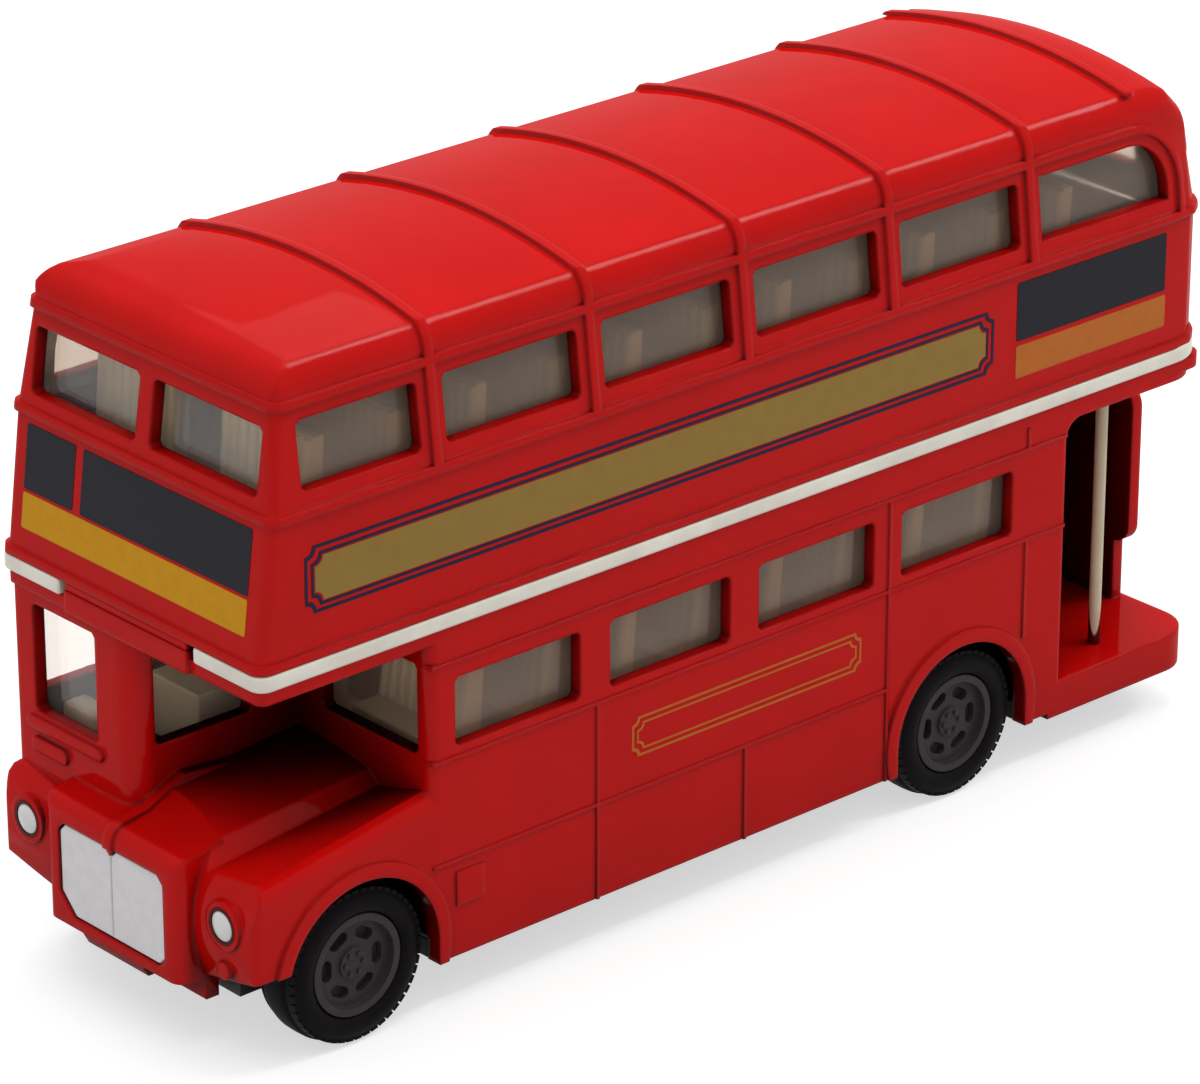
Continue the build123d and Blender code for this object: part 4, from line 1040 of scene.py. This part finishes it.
class BUS_OT_wheels(bpy.types.Operator):
    """Tyres with a blocked shoulder, hubs and wheel nuts"""

    bl_idname = "bus.wheels"
    bl_label = "Wheels"

    def execute(self, context):
        hues, sizes = context.scene.bus_colours, context.scene.bus_sizes
        rubber = vinyl_rubber(hues.tyre)
        grey = moulded_plastic("grey_nylon", hues.hub, roughness=0.5, patch_mm=1.5, gloss=0.1)
        steel = bright_steel()
        ring = wheel_ring_tree()
        pitch = 2 * math.pi * TREAD_CIRCLE / sizes.tread_count
        # The tree's post fills its block from corner to corner, so a square one is scaled up.
        square = math.sqrt(2)
        tread = (TREAD_HEIGHT * square, pitch * (1 - sizes.tread_gap) * square, TREAD_WIDTH)
        for axle in ("front", "rear"):
            body = f"{axle}_wheels"
            for name, side in SIDES:
                wheel = f"{axle}_{name}"
                low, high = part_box(f"{wheel}_tyre")
                outer = high.y if side > 0 else low.y
                width = (high.y - low.y) / MM
                centre = Vector(((low.x + high.x) / 2, outer, (low.z + high.z) / 2))
                far_half = [(width - depth, radius) for depth, radius in TYRE_HALF[-2::-1]]
                mesh = spun(f"{wheel}_tyre_wall", [*TYRE_HALF, *far_half], centre, side)
                place_piece(mesh.name, mesh, body, rubber, f"{wheel}_tyre")
                welded(f"{wheel}_hub_moulding", f"{wheel}_hub", grey)
            spot = Vector((centre.x, 0, centre.z))
            treads = {
                "Count": sizes.tread_count,
                "Radius": TREAD_RADIUS * MM,
                "Block": Vector(tread) * MM,
                "Sides": 4,
                "Axle": spot,
                "Outset": abs(outer) - TREAD_DEPTH * MM,
                "Material": rubber,
            }
            nuts = {
                "Count": sizes.nut_count,
                "Radius": NUT_CIRCLE * MM,
                "Block": Vector(NUT_BLOCK) * MM,
                "Sides": 6,
                "Axle": spot,
                "Outset": abs(outer) - NUT_DEPTH * MM,
                "Material": grey,
            }
            grow(f"{axle}_tread_blocks", ring, treads, body)
            grow(f"{axle}_wheel_nuts", ring, nuts, body)
            dress(f"{axle}_axle", steel)
        return {"FINISHED"}


class BUS_OT_underside(bpy.types.Operator):
    """Base plate and its screws"""

    bl_idname = "bus.underside"
    bl_label = "Underside"

    def execute(self, context):
        hues = context.scene.bus_colours
        black = moulded_plastic("black_styrene", hues.base, roughness=0.5)
        welded("base_moulding", "base_plate", black)
        steel = bright_steel()
        for name in ("front", "rear"):
            dress(f"base_screw_{name}", steel)
        return {"FINISHED"}


class BUS_OT_stage(bpy.types.Operator):
    """Pale floor, soft lights and the camera"""

    bl_idname = "bus.stage"
    bl_label = "Studio"

    def execute(self, context):
        scene = context.scene
        scene.view_settings.view_transform = "Standard"
        self.set_camera(scene)
        self.light_room(scene)
        self.lay_floor()
        self.hang_lamps()
        return {"FINISHED"}

    def set_camera(self, scene):
        """The camera, where the photograph was taken from."""
        view = scene.bus_camera
        azimuth, elevation = math.radians(view.azimuth), math.radians(view.elevation)
        level = math.cos(elevation)
        out = Vector((math.sin(azimuth) * level, -math.cos(azimuth) * level, math.sin(elevation)))
        camera_data = bpy.data.cameras.new("photo_camera")
        camera_data.lens = view.lens
        camera_data.sensor_width = CAMERA_SENSOR
        camera_data.clip_start = 0.01
        camera = in_scene("photo_camera", camera_data)
        camera.location = CAMERA_AIM + out * view.distance
        camera.rotation_euler = (-out).to_track_quat("-Z", "Y").to_euler()
        scene.camera = camera

    def light_room(self, scene):
        """A room lit by its ceiling, which the camera, gloss and clear plastic see as white."""
        world = bpy.data.worlds.new("studio")
        world.use_nodes = True
        tree = world.node_tree
        dim = tree.nodes["Background"]
        dim.inputs["Color"].default_value = (1, 1, 1, 1)
        place = add_node(tree, "ShaderNodeTexCoord")
        height = add_node(tree, "ShaderNodeSeparateXYZ", {0: place.outputs["Generated"]})
        ceiling = add_node(tree, "ShaderNodeMapRange", {"Value": height.outputs["Z"]}, **CEILING)
        tree.links.new(ceiling.outputs[0], dim.inputs["Strength"])
        white = add_node(tree, "ShaderNodeBackground", Color=(1, 1, 1, 1), Strength=1.0)
        mixed = add_node(
            tree,
            "ShaderNodeMixShader",
            {0: self.seen(tree), 1: dim.outputs[0], 2: white.outputs[0]},
        )
        tree.links.new(mixed.outputs[0], tree.nodes["World Output"].inputs["Surface"])
        scene.world = world

    def seen(self, tree):
        """One where a ray comes from the camera, off gloss or through clear plastic."""
        path = add_node(tree, "ShaderNodeLightPath")
        seen = path.outputs["Is Camera Ray"]
        for kind in ("Is Glossy Ray", "Is Transmission Ray"):
            either = {0: seen, 1: path.outputs[kind]}
            seen = add_node(tree, "ShaderNodeMath", either, operation="MAXIMUM").outputs[0]
        return seen

    def lay_floor(self):
        """White paper that keeps the toy's shadow."""
        material, tree, shader = surface("white_paper", Roughness=0.9, Specular_IOR_Level=0.0)
        shader.inputs["Base Color"].default_value = (PAPER_TONE, PAPER_TONE, PAPER_TONE, 1)
        shader.inputs["Emission Color"].default_value = (1, 1, 1, 1)
        glow = add_node(
            tree, "ShaderNodeMath", {0: self.seen(tree), 1: PAPER_GLOW}, operation="MULTIPLY"
        )
        tree.links.new(glow.outputs[0], shader.inputs["Emission Strength"])
        mesh = bpy.data.meshes.new("floor")
        corners = ((-1, -1, 0), (1, -1, 0), (1, 1, 0), (-1, 1, 0))
        mesh.from_pydata([Vector(corner) * FLOOR_REACH for corner in corners], [], [(0, 1, 2, 3)])
        mesh.materials.append(material)
        floor = in_scene("floor", mesh)

    def hang_lamps(self):
        """Soft lamps, each with its long side along the toy and its face towards it."""
        for name, spot, length, width, watts in LAMPS:
            lamp_data = bpy.data.lights.new(name, "AREA")
            lamp_data.shape = "RECTANGLE"
            lamp_data.size = length
            lamp_data.size_y = width
            lamp_data.energy = watts
            lamp = in_scene(name, lamp_data)
            lamp.location = spot
            away = (lamp.location - LAMP_AIM).normalized()
            along = (Vector((1, 0, 0)) - away * away.x).normalized()
            turn = Matrix((along, away.cross(along), away)).transposed()
            lamp.rotation_euler = turn.to_euler()


STEPS = (
    BUS_OT_castings,
    BUS_OT_glazing,
    BUS_OT_seats,
    BUS_OT_front_fittings,
    BUS_OT_signs,
    BUS_OT_wheels,
    BUS_OT_underside,
    BUS_OT_stage,
)


class BUS_PT_sidebar(bpy.types.Panel):
    """Every step of dressing the toy, with its colours and sizes"""

    bl_idname = "BUS_PT_sidebar"
    bl_label = "Toy Bus"
    bl_space_type = "VIEW_3D"
    bl_region_type = "UI"
    bl_category = "Toy Bus"

    def draw(self, context):
        scene = context.scene
        layout = self.layout
        for group in (scene.bus_colours, scene.bus_sizes, scene.bus_camera):
            box = layout.box()
            for setting in group.__annotations__:
                box.prop(group, setting)
        for step in STEPS:
            layout.operator(step.bl_idname)


CLASSES = (BusColours, BusSizes, BusCamera, *STEPS, BUS_PT_sidebar)


def register():
    """Register the classes and their settings."""
    for cls in CLASSES:
        bpy.utils.register_class(cls)
    bpy.types.Scene.bus_colours = PointerProperty(type=BusColours)
    bpy.types.Scene.bus_sizes = PointerProperty(type=BusSizes)
    bpy.types.Scene.bus_camera = PointerProperty(type=BusCamera)


def unregister():
    """Remove the settings and the classes."""
    del bpy.types.Scene.bus_colours
    del bpy.types.Scene.bus_sizes
    del bpy.types.Scene.bus_camera
    for cls in reversed(CLASSES):
        bpy.utils.unregister_class(cls)


def main():
    """Dress the toy."""
    register()
    bpy.ops.bus.castings()
    bpy.ops.bus.glazing()
    bpy.ops.bus.seats()
    bpy.ops.bus.front_fittings()
    bpy.ops.bus.signs()
    bpy.ops.bus.wheels()
    bpy.ops.bus.underside()
    bpy.ops.bus.stage()


if __name__ == "__main__":
    main()
